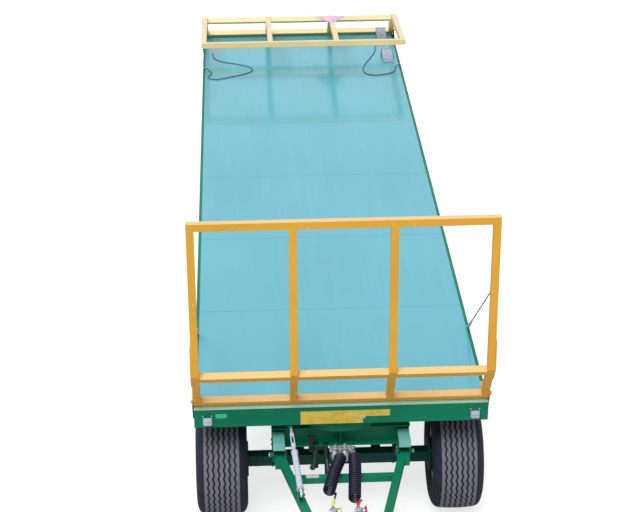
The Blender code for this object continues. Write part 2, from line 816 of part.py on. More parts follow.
def wheel(word, side, place, holder):
    """A tyre and its wheel on one axle end, each turned about the axle."""
    centre = (side * HALF_TRACK, station(place), AXLE_HEIGHT)
    axis = (side, 0, 0)
    hub = joint_empty("wheel_axis_" + word, centre, holder)
    tyre = turned(tyre_profile(), centre, axis, TYRE_SIDES)
    # A flat of the tyre, not a corner, meets the ground
    flat = Matrix.Rotation(math.pi / TYRE_SIDES, 4, "Z")
    tyre.matrix_world = tyre.matrix_world @ flat
    part("tyre_" + word, "tyre", [tyre], hub)
    rim = turned(rim_profile(), centre, axis, RIM_SIDES)
    rim.matrix_world = rim.matrix_world @ Matrix.Rotation(math.pi / RIM_SIDES * side * RIM_TURN, 4, "Z")
    part("rim_" + word, "rim", [rim], hub)


def spring_outline():
    """A pack of leaves curved up at its ends, in places from its middle and its eyes' height."""
    radius = (SPRING_HALF_LENGTH**2 + SPRING_CAMBER**2) / (2 * SPRING_CAMBER)

    def leaf(along, layer):
        """A point on the upper side of a leaf, counted down from the longest."""
        angle = math.asin(along / radius)
        depth = radius + (layer - 0.5) * LEAF_THICKNESS
        return (depth * math.sin(angle), -SPRING_CAMBER + radius - depth * math.cos(angle))

    steps = 5
    top = [leaf(SPRING_HALF_LENGTH * i / steps, 0) for i in range(-steps, steps + 1)]
    right = []
    for layer in range(1, LEAVES + 1):
        long = SPRING_HALF_LENGTH * (1 - 0.18 * (layer - 1))
        short = SPRING_HALF_LENGTH * (1 - 0.18 * layer)
        right.append(leaf(long, layer))
        right.append(leaf(short, layer))
    return top + right + [(-u, v) for u, v in reversed(right)]


def spring(word, side, place, holder):
    """One leaf spring with a rolled eye at each end."""
    middle = station(place)
    outline = [(middle + u, SPRING_EYE_HEIGHT + v) for u, v in spring_outline()]
    low, high = span(side, SPRING_PLACE - SPRING_WIDTH / 2, SPRING_PLACE + SPRING_WIDTH / 2)
    shapes = [plate(outline, "yz", low, high)]
    cuts = []
    for end in (-1, 1):
        centre_y = middle + end * SPRING_HALF_LENGTH
        eye_low, eye_high = (low, centre_y, SPRING_EYE_HEIGHT), (high, centre_y, SPRING_EYE_HEIGHT)
        shapes.append(rod(eye_low, eye_high, SPRING_EYE_RADIUS, 12))
        cuts.append(
            rod(
                (low - 0.01, centre_y, SPRING_EYE_HEIGHT),
                (high + 0.01, centre_y, SPRING_EYE_HEIGHT),
                SPRING_PIN_RADIUS + RUNNING_GAP,
                12,
            )
        )
    part("leaf_spring_" + word, "black", shapes, holder, cuts=cuts)


def axle(name, place, holder):
    """A square axle with spindles, backing plates, spring seats, clamps and brake chambers."""
    y, z, half = station(place), AXLE_HEIGHT, AXLE_BEAM / 2
    shapes = [block((-AXLE_BEAM_END, y - half, z - half), (AXLE_BEAM_END, y + half, z + half))]
    plate_end = AXLE_BEAM_END + BACKING_PLATE_WALL
    spindle_end = HALF_TRACK + 0.02
    pack_top = SPRING_BOTTOM + LEAVES * LEAF_THICKNESS
    for _, side in SIDES:
        centre = (side * AXLE_BEAM_END, y, z)
        plate_start = side * (AXLE_BEAM_END - 0.002)
        shapes.append(rod((plate_start, y, z), (side * plate_end, y, z), BACKING_PLATE_RADIUS, 20))
        shapes.append(rod(centre, (side * spindle_end, y, z), SPINDLE_RADIUS))
        low, high = span(side, SPRING_PLACE - 0.05, SPRING_PLACE + 0.05)
        shapes.append(block((low, y - half, z + half - 0.001), (high, y + half, SPRING_BOTTOM - FIT_GAP)))
        clamp_bottom = pack_top + 0.012
        shapes.append(block((low, y - half, clamp_bottom), (high, y + half, clamp_bottom + 0.012)))
        for across in (-1, 1):
            for along in (-1, 1):
                bolt_x = side * SPRING_PLACE + across * (SPRING_WIDTH / 2 + 0.009)
                bolt_y = y + along * (half - 0.012)
                shapes.append(rod((bolt_x, bolt_y, z), (bolt_x, bolt_y, clamp_bottom + 0.026), 0.007, 6))
        shapes += brake_gear(side, y, z)
    part(name, "green", shapes, holder)


def brake_gear(side, y, z):
    """A brake chamber on its bracket, its push rod, lever and camshaft, behind the axle beam."""
    chamber_x = side * 0.33
    shaft_y = y + 0.085
    shaft_end = side * (AXLE_BEAM_END + 0.002)
    return [
        rod((chamber_x, y + 0.16, z + 0.06), (chamber_x, y + 0.27, z + 0.06), 0.065, 16),
        block((chamber_x - 0.04, y + 0.04, z + 0.02), (chamber_x + 0.04, y + 0.17, z + 0.045)),
        rod((side * 0.24, shaft_y, z - 0.005), (shaft_end, shaft_y, z - 0.005), 0.014, 8),
        block((side * 0.26 - 0.008, y + 0.04, z - 0.025), (side * 0.26 + 0.008, shaft_y + 0.01, z + 0.015)),
        block((side * 0.60 - 0.008, y + 0.04, z - 0.025), (side * 0.60 + 0.008, shaft_y + 0.01, z + 0.015)),
    ]


# Frames over the axles


def under_frame(place, spacers):
    """Side rails, a channel in front, a beam behind, two transoms and the spring hangers."""
    front = station(place - FRONT_AXLE_PLACE + BOGIE_WEB_PLACE)
    rear = station(place - FRONT_AXLE_PLACE + BOGIE_REAR)
    flange_front = front - BOGIE_CHANNEL_DEPTH
    axle_y = station(place)
    channel = [
        (flange_front, BOGIE_BOTTOM),
        (front, BOGIE_BOTTOM),
        (front, BOGIE_TOP),
        (flange_front, BOGIE_TOP),
        (flange_front, BOGIE_TOP - BOGIE_WALL),
        (front - BOGIE_WALL, BOGIE_TOP - BOGIE_WALL),
        (front - BOGIE_WALL, BOGIE_BOTTOM + BOGIE_WALL),
        (flange_front, BOGIE_BOTTOM + BOGIE_WALL),
    ]
    shapes = [plate(channel, "yz", -BOGIE_HALF_WIDTH, BOGIE_HALF_WIDTH)]
    shapes.append(block((-0.004, flange_front, BOGIE_BOTTOM), (0.004, front, BOGIE_TOP)))
    inner = SPRING_PLACE - BOGIE_RAIL_WIDTH / 2
    outer = SPRING_PLACE + BOGIE_RAIL_WIDTH / 2
    for _, side in SIDES:
        low, high = span(side, inner, outer)
        shapes.append(block((low, front - 0.002, BOGIE_BOTTOM), (high, rear, BOGIE_TOP)))
        shapes += spring_hangers(side, axle_y)
        if spacers:
            for end in (-1, 1):
                y = axle_y + end * TRANSOM_OFFSET
                low, high = span(side, MAIN_BEAM_PLACE - 0.045, MAIN_BEAM_PLACE + 0.045)
                shapes.append(
                    block((low, y - 0.035, BOGIE_TOP - 0.002), (high, y + 0.035, MAIN_BEAM_BOTTOM - FIT_GAP))
                )
    reach = inner + 0.002
    shapes.append(block((-reach, rear - TRANSOM_WIDTH, BOGIE_BOTTOM), (reach, rear, BOGIE_TOP)))
    for end in (-1, 1):
        y = axle_y + end * TRANSOM_OFFSET
        low = (-reach, y - TRANSOM_WIDTH / 2, BOGIE_TOP - TRANSOM_DEPTH)
        high = (reach, y + TRANSOM_WIDTH / 2, BOGIE_TOP)
        shapes.append(block(low, high))
    return shapes


def spring_hangers(side, axle_y):
    """Two plates and a pin at each end of a spring, under the side rail."""
    shapes = []
    inside = SPRING_WIDTH / 2 + 0.002
    wall = 0.008
    for end in (-1, 1):
        y = axle_y + end * SPRING_HALF_LENGTH
        bottom = SPRING_EYE_HEIGHT - 0.028
        outline = [
            (y - 0.045, BOGIE_BOTTOM + 0.002),
            (y - 0.018, bottom),
            (y + 0.018, bottom),
            (y + 0.045, BOGIE_BOTTOM + 0.002),
        ]
        for across in (-1, 1):
            middle = side * SPRING_PLACE + across * (inside + wall / 2)
            shapes.append(plate(outline, "yz", middle - wall / 2, middle + wall / 2))
        reach = inside + wall + 0.006
        start = (side * SPRING_PLACE - reach, y, SPRING_EYE_HEIGHT)
        end_point = (side * SPRING_PLACE + reach, y, SPRING_EYE_HEIGHT)
        shapes.append(rod(start, end_point, SPRING_PIN_RADIUS, 12))
    return shapes


def drawbar_ears():
    """The boxed lugs that carry the drawbar's pins, on the ends of the bogie's front channel."""
    pivot_y = station(PIVOT_PLACE)
    back = station(BOGIE_WEB_PLACE)
    nose = station(-0.064)
    low, top = PIVOT_HEIGHT - 0.05, BOGIE_TOP - 0.05
    outline = [
        (back, BOGIE_BOTTOM),
        (back, top),
        (nose, top),
        (nose, top - 0.055),
        (pivot_y - 0.045, top - 0.095),
        (pivot_y - 0.045, PIVOT_HEIGHT - 0.02),
        (pivot_y - 0.022, low),
        (pivot_y + 0.045, low),
    ]
    inside = EYE_BAR_WIDTH / 2 + EAR_PLAY
    shapes = []
    for _, side in SIDES:
        middle = side * PIVOT_SPREAD
        for across in (-1, 1):
            plate_middle = middle + across * (inside + EAR_WALL / 2)
            shapes.append(plate(outline, "yz", plate_middle - EAR_WALL / 2, plate_middle + EAR_WALL / 2))
        reach = inside + EAR_WALL
        shapes.append(block((middle - reach, nose, top - EAR_WALL), (middle + reach, back, top)))
        pin = reach + 0.016
        shapes.append(
            rod(
                (middle - pin, pivot_y, PIVOT_HEIGHT),
                (middle + pin, pivot_y, PIVOT_HEIGHT),
                PIVOT_PIN_RADIUS,
            )
        )
        outer = middle + side * pin
        head_low, head_high = (outer - 0.004, pivot_y, PIVOT_HEIGHT), (outer + 0.004, pivot_y, PIVOT_HEIGHT)
        shapes.append(rod(head_low, head_high, 0.024, 12))
    return shapes


STRUT_TOP = (-0.42, 0.075, BOGIE_TOP + 0.04)
STRUT_FOOT = (-0.362, -0.70, PIVOT_HEIGHT + 0.085)
STRUT_PIN_RADIUS = 0.008
STRUT_TUBE_RADIUS = 0.025
STRUT_SLOT_HALF = 0.0145
STRUT_EYE_WALL = 0.016
STRUT_EYE_PLAY = 0.007


def strut_ears(x, outline, pin_place):
    """Two ears of one outline with a pin between them."""
    shapes = []
    half = STRUT_EYE_WALL / 2 + STRUT_EYE_PLAY
    wall = 0.008
    for across in (-1, 1):
        middle = x + across * (half + wall / 2)
        shapes.append(plate(outline, "yz", middle - wall / 2, middle + wall / 2))
    pin = half + wall + 0.008
    shapes.append(rod((x - pin, *pin_place), (x + pin, *pin_place), STRUT_PIN_RADIUS, 12))
    return shapes


def hook_plates():
    """Two curved guide hooks that hang under the bogie's front channel, with the hoses over them."""
    shapes = []
    # Each hook: place across, thickness, drop, sweep forward
    for across, wall, drop, sweep in ((-0.205, 0.030, 0.20, 0.03), (-0.125, 0.022, 0.27, 0.07)):
        y = station(0.13)
        top = BOGIE_BOTTOM + 0.002
        outline = [
            (y - 0.02, top),
            (y - 0.035, top - drop * 0.55),
            (y - 0.03 - sweep, top - drop * 0.85),
            (y - 0.02 - sweep, top - drop),
            (y + 0.02 - sweep, top - drop * 0.95),
            (y + 0.035, top - drop * 0.55),
            (y + 0.03, top),
        ]
        shapes.append(plate(outline, "yz", across - wall / 2, across + wall / 2))
    return shapes


def bogie(chassis_holder):
    """The steered frame under the front of the platform."""
    turn = joint_empty("bogie_turn", (0, station(FRONT_AXLE_PLACE), BOGIE_TOP), chassis_holder)
    strut_top = (STRUT_TOP[0], station(STRUT_TOP[1]), STRUT_TOP[2])
    shapes = under_frame(FRONT_AXLE_PLACE, False)
    shapes += drawbar_ears() + hook_plates()
    low = (STRUT_TOP[0] - 0.032, station(0.107), BOGIE_TOP - 0.004)
    shapes.append(block(low, (STRUT_TOP[0] + 0.032, station(BOGIE_WEB_PLACE) - 0.002, BOGIE_TOP + 0.006)))
    ear = (
        (0.17, 0.004),
        (0.11, 0.004),
        (0.052, 0.026),
        (0.052, 0.050),
        (0.062, 0.060),
        (0.090, 0.060),
        (0.17, 0.02),
    )
    outline = [(station(place), BOGIE_TOP + rise) for place, rise in ear]
    shapes += strut_ears(STRUT_TOP[0], outline, strut_top[1:])
    part("bogie_frame", "green", shapes, turn, turn.location)
    centre = (0, station(FRONT_AXLE_PLACE), 0)
    lower_top = MAIN_BEAM_BOTTOM - RING_PLATE - 0.002
    lower = [
        (RING_INNER + 0.035, lower_top),
        (RING_INNER + 0.035, BOGIE_TOP + RING_PLATE),
        (RING_OUTER, BOGIE_TOP + RING_PLATE),
        (RING_OUTER, BOGIE_TOP + FIT_GAP),
        (RING_INNER, BOGIE_TOP + FIT_GAP),
        (RING_INNER, lower_top),
    ]
    part("slewing_ring_lower", "green", [turned(lower, centre, (0, 0, 1), RING_SIDES)], turn)
    upper_top = MAIN_BEAM_BOTTOM - FIT_GAP
    upper = [
        (RING_OUTER, upper_top),
        (RING_OUTER, BOGIE_TOP + RING_PLATE + 0.003),
        (RING_INNER + 0.04, BOGIE_TOP + RING_PLATE + 0.003),
        (RING_INNER + 0.04, upper_top - RING_PLATE),
        (RING_INNER, upper_top - RING_PLATE),
        (RING_INNER, upper_top),
    ]
    part("slewing_ring_upper", "green", [turned(upper, centre, (0, 0, 1), RING_SIDES)], chassis_holder)
    for word, side in SIDES:
        spring("front_" + word, side, FRONT_AXLE_PLACE, turn)
        wheel("front_" + word, side, FRONT_AXLE_PLACE, turn)
    axle("front_axle", FRONT_AXLE_PLACE, turn)
    brake_valve(turn)
    return turn


def brake_valve(holder):
    """The brake line filters and valve on a bracket under the bogie's front channel."""
    y = station(0.09)
    z = BOGIE_BOTTOM - 0.045
    shapes = [
        block((-0.09, y - 0.004, z - 0.07), (0.12, y + 0.004, BOGIE_BOTTOM - FIT_GAP)),
        rod((-0.055, y - 0.045, z - 0.055), (-0.055, y - 0.045, z + 0.035), 0.026, 12),
        rod((0.03, y - 0.05, z - 0.06), (0.03, y - 0.05, z + 0.04), 0.032, 12),
        block((-0.08, y - 0.045, z - 0.03), (0.06, y + 0.001, z + 0.005)),
        rod((-0.012, y - 0.098, z + 0.012), (-0.012, y - 0.001, z + 0.012), 0.013, 8),
        rod((0.095, y - 0.098, z + 0.012), (0.095, y + 0.001, z + 0.012), 0.013, 8),
    ]
    part("brake_valve", "coupling", shapes, holder)


def rear_running_gear(chassis_holder):
    """The fixed frame, axle, springs and wheels at the rear."""
    shapes = under_frame(REAR_AXLE_PLACE, True)
    part("rear_subframe", "green", shapes, chassis_holder)
    for word, side in SIDES:
        spring("rear_" + word, side, REAR_AXLE_PLACE, chassis_holder)
        wheel("rear_" + word, side, REAR_AXLE_PLACE, chassis_holder)
    axle("rear_axle", REAR_AXLE_PLACE, chassis_holder)


def air_tank(holder):
    """The brake air tank in two straps under a bar across the main beams."""
    y = station(2.35)
    z = 0.955
    radius = 0.1
    bar_low = MAIN_BEAM_BOTTOM - 0.022
    shapes = [rod((-0.27, y, z), (0.27, y, z), radius, 20)]
    for side in (-1, 1):
        shapes.append(rod((side * 0.26, y, z), (side * 0.30, y, z), radius * 0.8, 20))
        shapes.append(rod((side * 0.18 - 0.015, y, z), (side * 0.18 + 0.015, y, z), radius + 0.004, 20))
        low = (side * 0.18 - 0.015, y - 0.02, z + radius - 0.01)
        high = (side * 0.18 + 0.015, y + 0.02, bar_low + 0.002)
        shapes.append(block(low, high))
    shapes.append(block((-0.46, y - 0.03, bar_low), (0.46, y + 0.03, MAIN_BEAM_BOTTOM - FIT_GAP)))
    part("air_tank", "black", shapes, holder)


# Drawbar


def leg_place(place):
    """Distance of a drawbar leg's middle from the centre line at a place along the wagon."""
    slope = (PIVOT_SPREAD - NOSE_HALF_WIDTH) / (PIVOT_PLACE - NOSE_START)
    return PIVOT_SPREAD - slope * (PIVOT_PLACE - place)


def drawbar(bogie_turn):
    """The A-shaped drawbar: eye bars, legs, two cross bars, nose and the parking plates for the couplings."""
    pivot_y = station(PIVOT_PLACE)
    pivot = joint_empty("drawbar_pivot", (0, pivot_y, PIVOT_HEIGHT), bogie_turn)
    half = LEG_SIZE / 2
    shapes, bores = [], []
    for _, side in SIDES:
        low, high = span(side, PIVOT_SPREAD - EYE_BAR_WIDTH / 2, PIVOT_SPREAD + EYE_BAR_WIDTH / 2)
        start = (side * leg_place(LEG_START), station(LEG_START), PIVOT_HEIGHT)
        end = (side * leg_place(NOSE_START - 0.06), station(NOSE_START - 0.06), PIVOT_HEIGHT)
        shapes.append(beam(start, end, LEG_SIZE, LEG_SIZE))
        bar_low = (low, station(-0.15), PIVOT_HEIGHT - half + 0.001)
        bar_high = (high, pivot_y, PIVOT_HEIGHT + half - 0.001)
        shapes.append(block(bar_low, bar_high))
        shapes.append(rod((low, pivot_y, PIVOT_HEIGHT), (high, pivot_y, PIVOT_HEIGHT), half - 0.001))
        bore_low, bore_high = (low - 0.01, pivot_y, PIVOT_HEIGHT), (high + 0.01, pivot_y, PIVOT_HEIGHT)
        bores.append(rod(bore_low, bore_high, PIVOT_PIN_RADIUS + 0.001))
    for place, size in ((CROSS_BAR_PLACE, CROSS_BAR_SIZE), (HOLDER_BAR_PLACE, 0.05)):
        reach = leg_place(place)
        y = station(place)
        low = (-reach, y - size / 2, PIVOT_HEIGHT - size / 2)
        high = (reach, y + size / 2, PIVOT_HEIGHT + size / 2)
        shapes.append(block(low, high))
    nose_y = station(NOSE_START)
    tip_y = station(TOW_EYE_PLACE + 0.12)
    nose = [
        (-NOSE_HALF_WIDTH - half, nose_y),
        (NOSE_HALF_WIDTH + half, nose_y),
        (0.045, tip_y),
        (-0.045, tip_y),
    ]
    for level in (PIVOT_HEIGHT - half - 0.008, PIVOT_HEIGHT + half - 0.004):
        shapes.append(plate(nose, "xy", level, level + 0.012))
    shapes.append(block((-0.045, tip_y, PIVOT_HEIGHT - half), (0.045, nose_y + 0.01, PIVOT_HEIGHT + half)))
    shapes += coupling_plates()
    foot = (STRUT_FOOT[0], station(STRUT_FOOT[1]), STRUT_FOOT[2])
    seat = PIVOT_HEIGHT + half - 0.002
    ear = ((-0.045, seat), (-0.016, foot[2] + 0.022), (0.016, foot[2] + 0.022), (0.045, seat))
    shapes += strut_ears(STRUT_FOOT[0], [(foot[1] + u, z) for u, z in ear], foot[1:])
    part("drawbar_frame", "green", shapes, pivot, pivot.location, cuts=bores)
    tow_eye(pivot, tip_y)
    return pivot


COUPLINGS = (("yellow", -0.12), ("red", 0.078))
HEAD_RISE = 0.072


def coupling_plates():
    """An upright plate on the holder bar for each parked coupling head."""
    shapes = []
    y = station(HOLDER_BAR_PLACE)
    for _, across in COUPLINGS:
        low = (across - 0.03, y - 0.004, PIVOT_HEIGHT + 0.02)
        high = (across + 0.03, y + 0.004, PIVOT_HEIGHT + HEAD_RISE + 0.028)
        shapes.append(block(low, high))
    return shapes


def tow_eye(holder, tip_y):
    """The tow eye: a thick ring on a shank that ends in a flange on the drawbar's nose."""
    y = station(TOW_EYE_PLACE)
    half = TOW_EYE_WALL / 2
    shapes = [
        rod((0, y, PIVOT_HEIGHT - half), (0, y, PIVOT_HEIGHT + half), TOW_EYE_OUTER, 24),
        rod((0, y - 0.01 + TOW_EYE_OUTER * 0.8, PIVOT_HEIGHT), (0, tip_y - 0.018, PIVOT_HEIGHT), 0.026, 16),
        block((-0.045, tip_y - 0.02, PIVOT_HEIGHT - 0.04), (0.045, tip_y - FIT_GAP, PIVOT_HEIGHT + 0.04)),
    ]
    bore = rod((0, y, PIVOT_HEIGHT - half - 0.01), (0, y, PIVOT_HEIGHT + half + 0.01), TOW_EYE_BORE, 24)
    part("tow_eye", "green", shapes, holder, cuts=[bore])


def strut(drawbar_pivot):
    """The spring strut that holds the drawbar up: a tube on the drawbar and a slotted rod to the bogie."""
    top = Vector((STRUT_TOP[0], station(STRUT_TOP[1]), STRUT_TOP[2]))
    foot = Vector((STRUT_FOOT[0], station(STRUT_FOOT[1]), STRUT_FOOT[2]))
    along = (top - foot).normalized()
    length = (top - foot).length
    holder = joint_empty("strut_hinge", foot, drawbar_pivot)
    tube_start, tube_end = 0.055, length - 0.30
    bore_start = 0.12
    half = STRUT_EYE_WALL / 2
    tube_shapes = [
        rod(foot + along * tube_start, foot + along * tube_end, STRUT_TUBE_RADIUS, 16),
        rod(foot - Vector((half, 0, 0)), foot + Vector((half, 0, 0)), 0.022, 16),
        beam(foot, foot + along * (tube_start + 0.005), STRUT_EYE_WALL, 0.036),
    ]
    tube_cuts = [
        rod(foot + along * bore_start, foot + along * (tube_end + 0.01), 0.015, 16),
        rod(foot - Vector((0.03, 0, 0)), foot + Vector((0.03, 0, 0)), STRUT_PIN_RADIUS + RUNNING_GAP, 12),
    ]
    part("strut_tube", "galvanised", tube_shapes, holder, foot, cuts=tube_cuts)
    rod_holder = joint_empty("strut_slide", foot + along * tube_end, holder)
    slot_low, slot_high = length - 0.060, length + 0.012
    rod_shapes = [
        rod(foot + along * (tube_end - 0.15), foot + along * (length - 0.20), 0.0125, 12),
        beam(foot + along * (length - 0.235), foot + along * (length + 0.026), STRUT_EYE_WALL, 0.050),
    ]
    rod_cuts = [
        beam(foot + along * slot_low, foot + along * slot_high, 0.05, STRUT_SLOT_HALF * 2),
        beam(foot + along * (length - 0.175), foot + along * (length - 0.095), 0.05, 0.022),
    ]
    part("strut_rod", "galvanised", rod_shapes, rod_holder, foot + along * tube_end, cuts=rod_cuts)


# Hoses, couplings and ropes


def smooth_route(points, step):
    """Evenly spaced places on a smooth curve through the route's points."""
    places = [Vector(p) for p in points]
    dense = []
    for i in range(len(places) - 1):
        before = places[max(i - 1, 0)]
        after = places[min(i + 2, len(places) - 1)]
        here, there = places[i], places[i + 1]
        for k in range(24):
            t = k / 24
            dense.append(
                0.5
                * (
                    2 * here
                    + (there - before) * t
                    + (2 * before - 5 * here + 4 * there - after) * t**2
                    + (3 * here - before - 3 * there + after) * t**3
                )
            )
    dense.append(places[-1])
    distance = [0.0]
    for first, second in zip(dense, dense[1:]):
        distance.append(distance[-1] + (second - first).length)
    count = max(2, round(distance[-1] / step))
    even, at = [], 0
    for i in range(count + 1):
        goal = distance[-1] * i / count
        while at < len(dense) - 2 and distance[at + 1] < goal:
            at += 1
        share = (goal - distance[at]) / max(distance[at + 1] - distance[at], 1e-9)
        even.append(dense[at].lerp(dense[at + 1], min(share, 1.0)))
    return even


# Each coiled hose: its coil's middle line as (across, place, rise over the pivot), rear to front
COIL_ROUTES = {
    "yellow": (
        (-0.010, -0.085, 0.045),
        (-0.032, -0.22, 0.085),
        (-0.072, -0.37, 0.100),
        (-0.110, -0.53, 0.095),
        (-0.140, -0.66, 0.088),
    ),
    "red": (
        (0.100, -0.085, 0.060),
        (0.095, -0.22, 0.088),
        (0.085, -0.40, 0.100),
        (0.070, -0.60, 0.090),
        (0.058, -0.76, 0.080),
    ),
}
# The straight tail of each hose from its coil to its coupling head
TAIL_ROUTES = {
    "yellow": (
        (-0.140, -0.66, 0.088),
        (-0.142, -0.70, 0.084),
        (-0.130, -0.76, 0.076),
        (-0.120, -0.82, 0.072),
        (-0.120, -0.85, 0.072),
        (-0.120, -0.872, 0.072),
    ),
    "red": (
        (0.058, -0.76, 0.080),
        (0.060, -0.79, 0.078),
        (0.072, -0.815, 0.074),
        (0.078, -0.835, 0.072),
        (0.078, -0.855, 0.072),
        (0.078, -0.872, 0.072),
    ),
}


def coiled_hoses(holder):
    """A fat tube for each hose's coil, with the thin tail that runs to its coupling head."""
    for colour, _ in COUPLINGS:
        coil = [(x, station(p), PIVOT_HEIGHT + rise) for x, p, rise in COIL_ROUTES[colour]]
        tail = [(x, station(p), PIVOT_HEIGHT + rise) for x, p, rise in TAIL_ROUTES[colour]]
        coil_points = smooth_route(coil, 0.05)
        tail_points = smooth_route(tail, 0.03)[1:]
        points = coil_points + tail_points
        radii = [COIL_RADIUS] * len(coil_points) + [HOSE_RADIUS] * len(tail_points)
        part("coiled_hose_" + colour, "black", [pipe(points, radii, 3)], holder)


def coupling_heads(holder):
    """A coupling head parked on each plate: body, neck, claw and cap."""
    front = station(HOLDER_BAR_PLACE) + 0.004 + FIT_GAP
    back = station(-0.874)
    claw = back - 0.058
    height = PIVOT_HEIGHT + HEAD_RISE
    for colour, across in COUPLINGS:
        shapes = [
            rod((across, back, height), (across, back - 0.035, height), 0.016, 12),
            rod((across, back - 0.03, height), (across, front, height), 0.026, 16),
            rod((across - 0.03, claw, height), (across + 0.045, claw, height), 0.018, 12),
            rod((across + 0.040, claw, height), (across + 0.062, claw, height), 0.026, 12),
        ]
        part("coupling_head_" + colour, "coupling", shapes, holder)


# Each slack rope's way over the floor from its lug to its hook, as distances from the platform's
# side edge and rear edge
ROPE_ROUTES = {
    "left": (
        (0.11, 1.4),
        (0.07, 1.48),
        (0.09, 1.565),
        (0.17, 1.595),
        (0.27, 1.555),
        (0.38, 1.495),
        (0.49, 1.435),
        (0.573, 1.36),
        (0.604, 1.28),
        (0.56, 1.18),
        (0.452, 1.1),
        (0.34, 1.04),
        (0.235, 0.98),
        (0.16, 0.9),
        (0.125, 0.8),
        (0.115, 0.7),
    ),
    "right": (
        (0.08, 1.355),
        (0.1, 1.43),
        (0.16, 1.5),
        (0.25, 1.54),
        (0.35, 1.555),
        (0.42, 1.525),
        (0.462, 1.45),
        (0.472, 1.35),
        (0.455, 1.23),
        (0.41, 1.09),
        (0.35, 0.93),
        (0.3, 0.78),
        (0.27, 0.64),
        (0.26, 0.52),
    ),
}


def slack_ropes():
    """A rope lying slack on the floor from each rear lug, and the hook on its free end."""
    lie = DECK_TOP + ROPE_RADIUS + FIT_GAP
    for word, side in SIDES:
        lug_face = side * (HALF_DECK - ANCHOR_INSET - LUG_WALL / 2 - FIT_GAP)
        lug_y = DECK_LENGTH - ANCHOR_PLACE
        eye = DECK_TOP + LUG_RADIUS + 0.004
        route = [
            (lug_face, station(lug_y), eye),
            (lug_face - side * 0.025, station(lug_y - 0.004), eye - 0.001),
            (lug_face - side * 0.055, station(lug_y - 0.03), lie + 0.004),
        ]
        for inset, back in ROPE_ROUTES[word]:
            route.append((side * (HALF_DECK - inset), station(DECK_LENGTH - back), lie))
        points = smooth_route(route, 0.036)
        part("slack_rope_" + word, "black", [pipe(points, [ROPE_RADIUS] * len(points), 2)])
        rope_hook(word, Vector(points[-1]), Vector(points[-1]) - Vector(points[-2]))


def rope_hook(word, end, direction):
    """A flat snap hook lying at the rope's free end."""
    direction.z = 0
    along = direction.normalized()
    angle = math.atan2(along.y, along.x)
    steps = 6
    outline = [(0.0, -0.008), (0.02, -0.012)]
    outer = [math.radians(-90 + 180 * i / steps) for i in range(steps + 1)]
    outline += [(0.075 + 0.02 * math.cos(a), 0.02 * math.sin(a)) for a in outer]
    outline += [(0.02, 0.012), (0.0, 0.008)]
    slot = [(0.035, -0.008), (0.035, 0.008)]
    slot += [(0.073 + 0.011 * math.cos(a), 0.011 * math.sin(a)) for a in reversed(outer)]
    low = DECK_TOP + FIT_GAP
    made = plate(outline, "xy", low, low + 0.010, [slot])
    start = end + along * FIT_GAP
    place = Matrix.Translation((start.x, start.y, 0)) @ Matrix.Rotation(angle, 4, "Z")
    made.data.transform(place)
    part("rope_hook_" + word, "galvanised", [made])


# Loose pieces and lamps


def wheel_chocks():
    """Two folded steel chocks that lie on the floor by the rear right corner."""
    height, length, width = 0.118, 0.26, 0.12
    # Each chock: its distance from the side edge, its thin end's from the rear edge, its turn
    for number, inset, back, turn in ((1, 0.158, 0.355, 2.0), (2, 0.138, 1.125, 6.0)):
        steps = 6
        # The face for the tyre is part of a circle, hollow towards the thin end
        face = []
        for i in range(steps + 1):
            share = i / steps
            face.append((0.02 + 0.15 * share, height * (0.12 + 0.88 * share**1.6)))
        outline = [(0.0, 0.0), (0.0, height * 0.12)] + face + [(length - 0.03, height), (length, 0.0)]
        made = plate(outline, "yz", -width / 2, width / 2, [round_hole((0.175, 0.062), 0.022, 12)])
        spin = Matrix.Rotation(math.radians(turn), 4, "Z")
        corner = (HALF_DECK - inset, station(DECK_LENGTH - back), DECK_TOP + FIT_GAP)
        made.data.transform(Matrix.Translation(corner) @ spin)
        part("wheel_chock_%d" % number, "galvanised", [made])


def lamps():
    """A small marker lamp near each front corner and a broad lamp near each rear corner."""
    for word, side in SIDES:
        x, z = side * (HALF_DECK - 0.11), EDGE_BOTTOM + 0.065
        face = station(0) - FIT_GAP
        shapes = [
            block((x - 0.037, face - 0.030, z - 0.033), (x + 0.037, face, z + 0.033)),
            block((x - 0.030, face - 0.038, z - 0.026), (x + 0.030, face - 0.028, z + 0.026)),
            block((x - 0.045, face - 0.004, z + 0.026), (x + 0.045, face, z + 0.052)),
        ]
        part("front_lamp_" + word, "lamp", shapes)
        x, z = side * (HALF_DECK - 0.23), EDGE_BOTTOM + 0.075
        face = station(DECK_LENGTH) + FIT_GAP
        lens = station(DECK_LENGTH) + LAMP_DEPTH
        shapes = [
            block((x - 0.12, face, z - 0.055), (x + 0.12, face + 0.030, z + 0.055)),
            block((x - 0.11, face + 0.028, z - 0.047), (x + 0.11, lens, z + 0.047)),
        ]
        part("rear_lamp_" + word, "red", shapes)


def build():
    """Make every piece."""
    chassis = joint_empty("chassis", (0, 0, 0))
    end_beam("front_beam", 0, 1)
    end_beam("rear_beam", REAR_EDGE, -1)
    side_rails()
    floor_sheets()
    chassis_frame()
    front_frame()
    front_stays()
    rear_frame()
    turn = bogie(chassis)
    rear_running_gear(chassis)
    air_tank(chassis)
    pivot = drawbar(turn)
    strut(pivot)
    coiled_hoses(pivot)
    coupling_heads(pivot)
    slack_ropes()
    wheel_chocks()
    lamps()


build()
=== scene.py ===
"""The looks of a hay wagon: finishes, ropes, hoses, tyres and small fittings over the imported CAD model.

Every length is in metres, in the frame of the CAD model: X across, Y towards the rear, Z up from the ground.
A place along the wagon is given as its distance behind the platform's front edge.
"""

import logging
import math
from dataclasses import dataclass, field
from enum import Enum
from typing import Iterable, Sequence

import bmesh
import bpy
from mathutils import Matrix, Vector


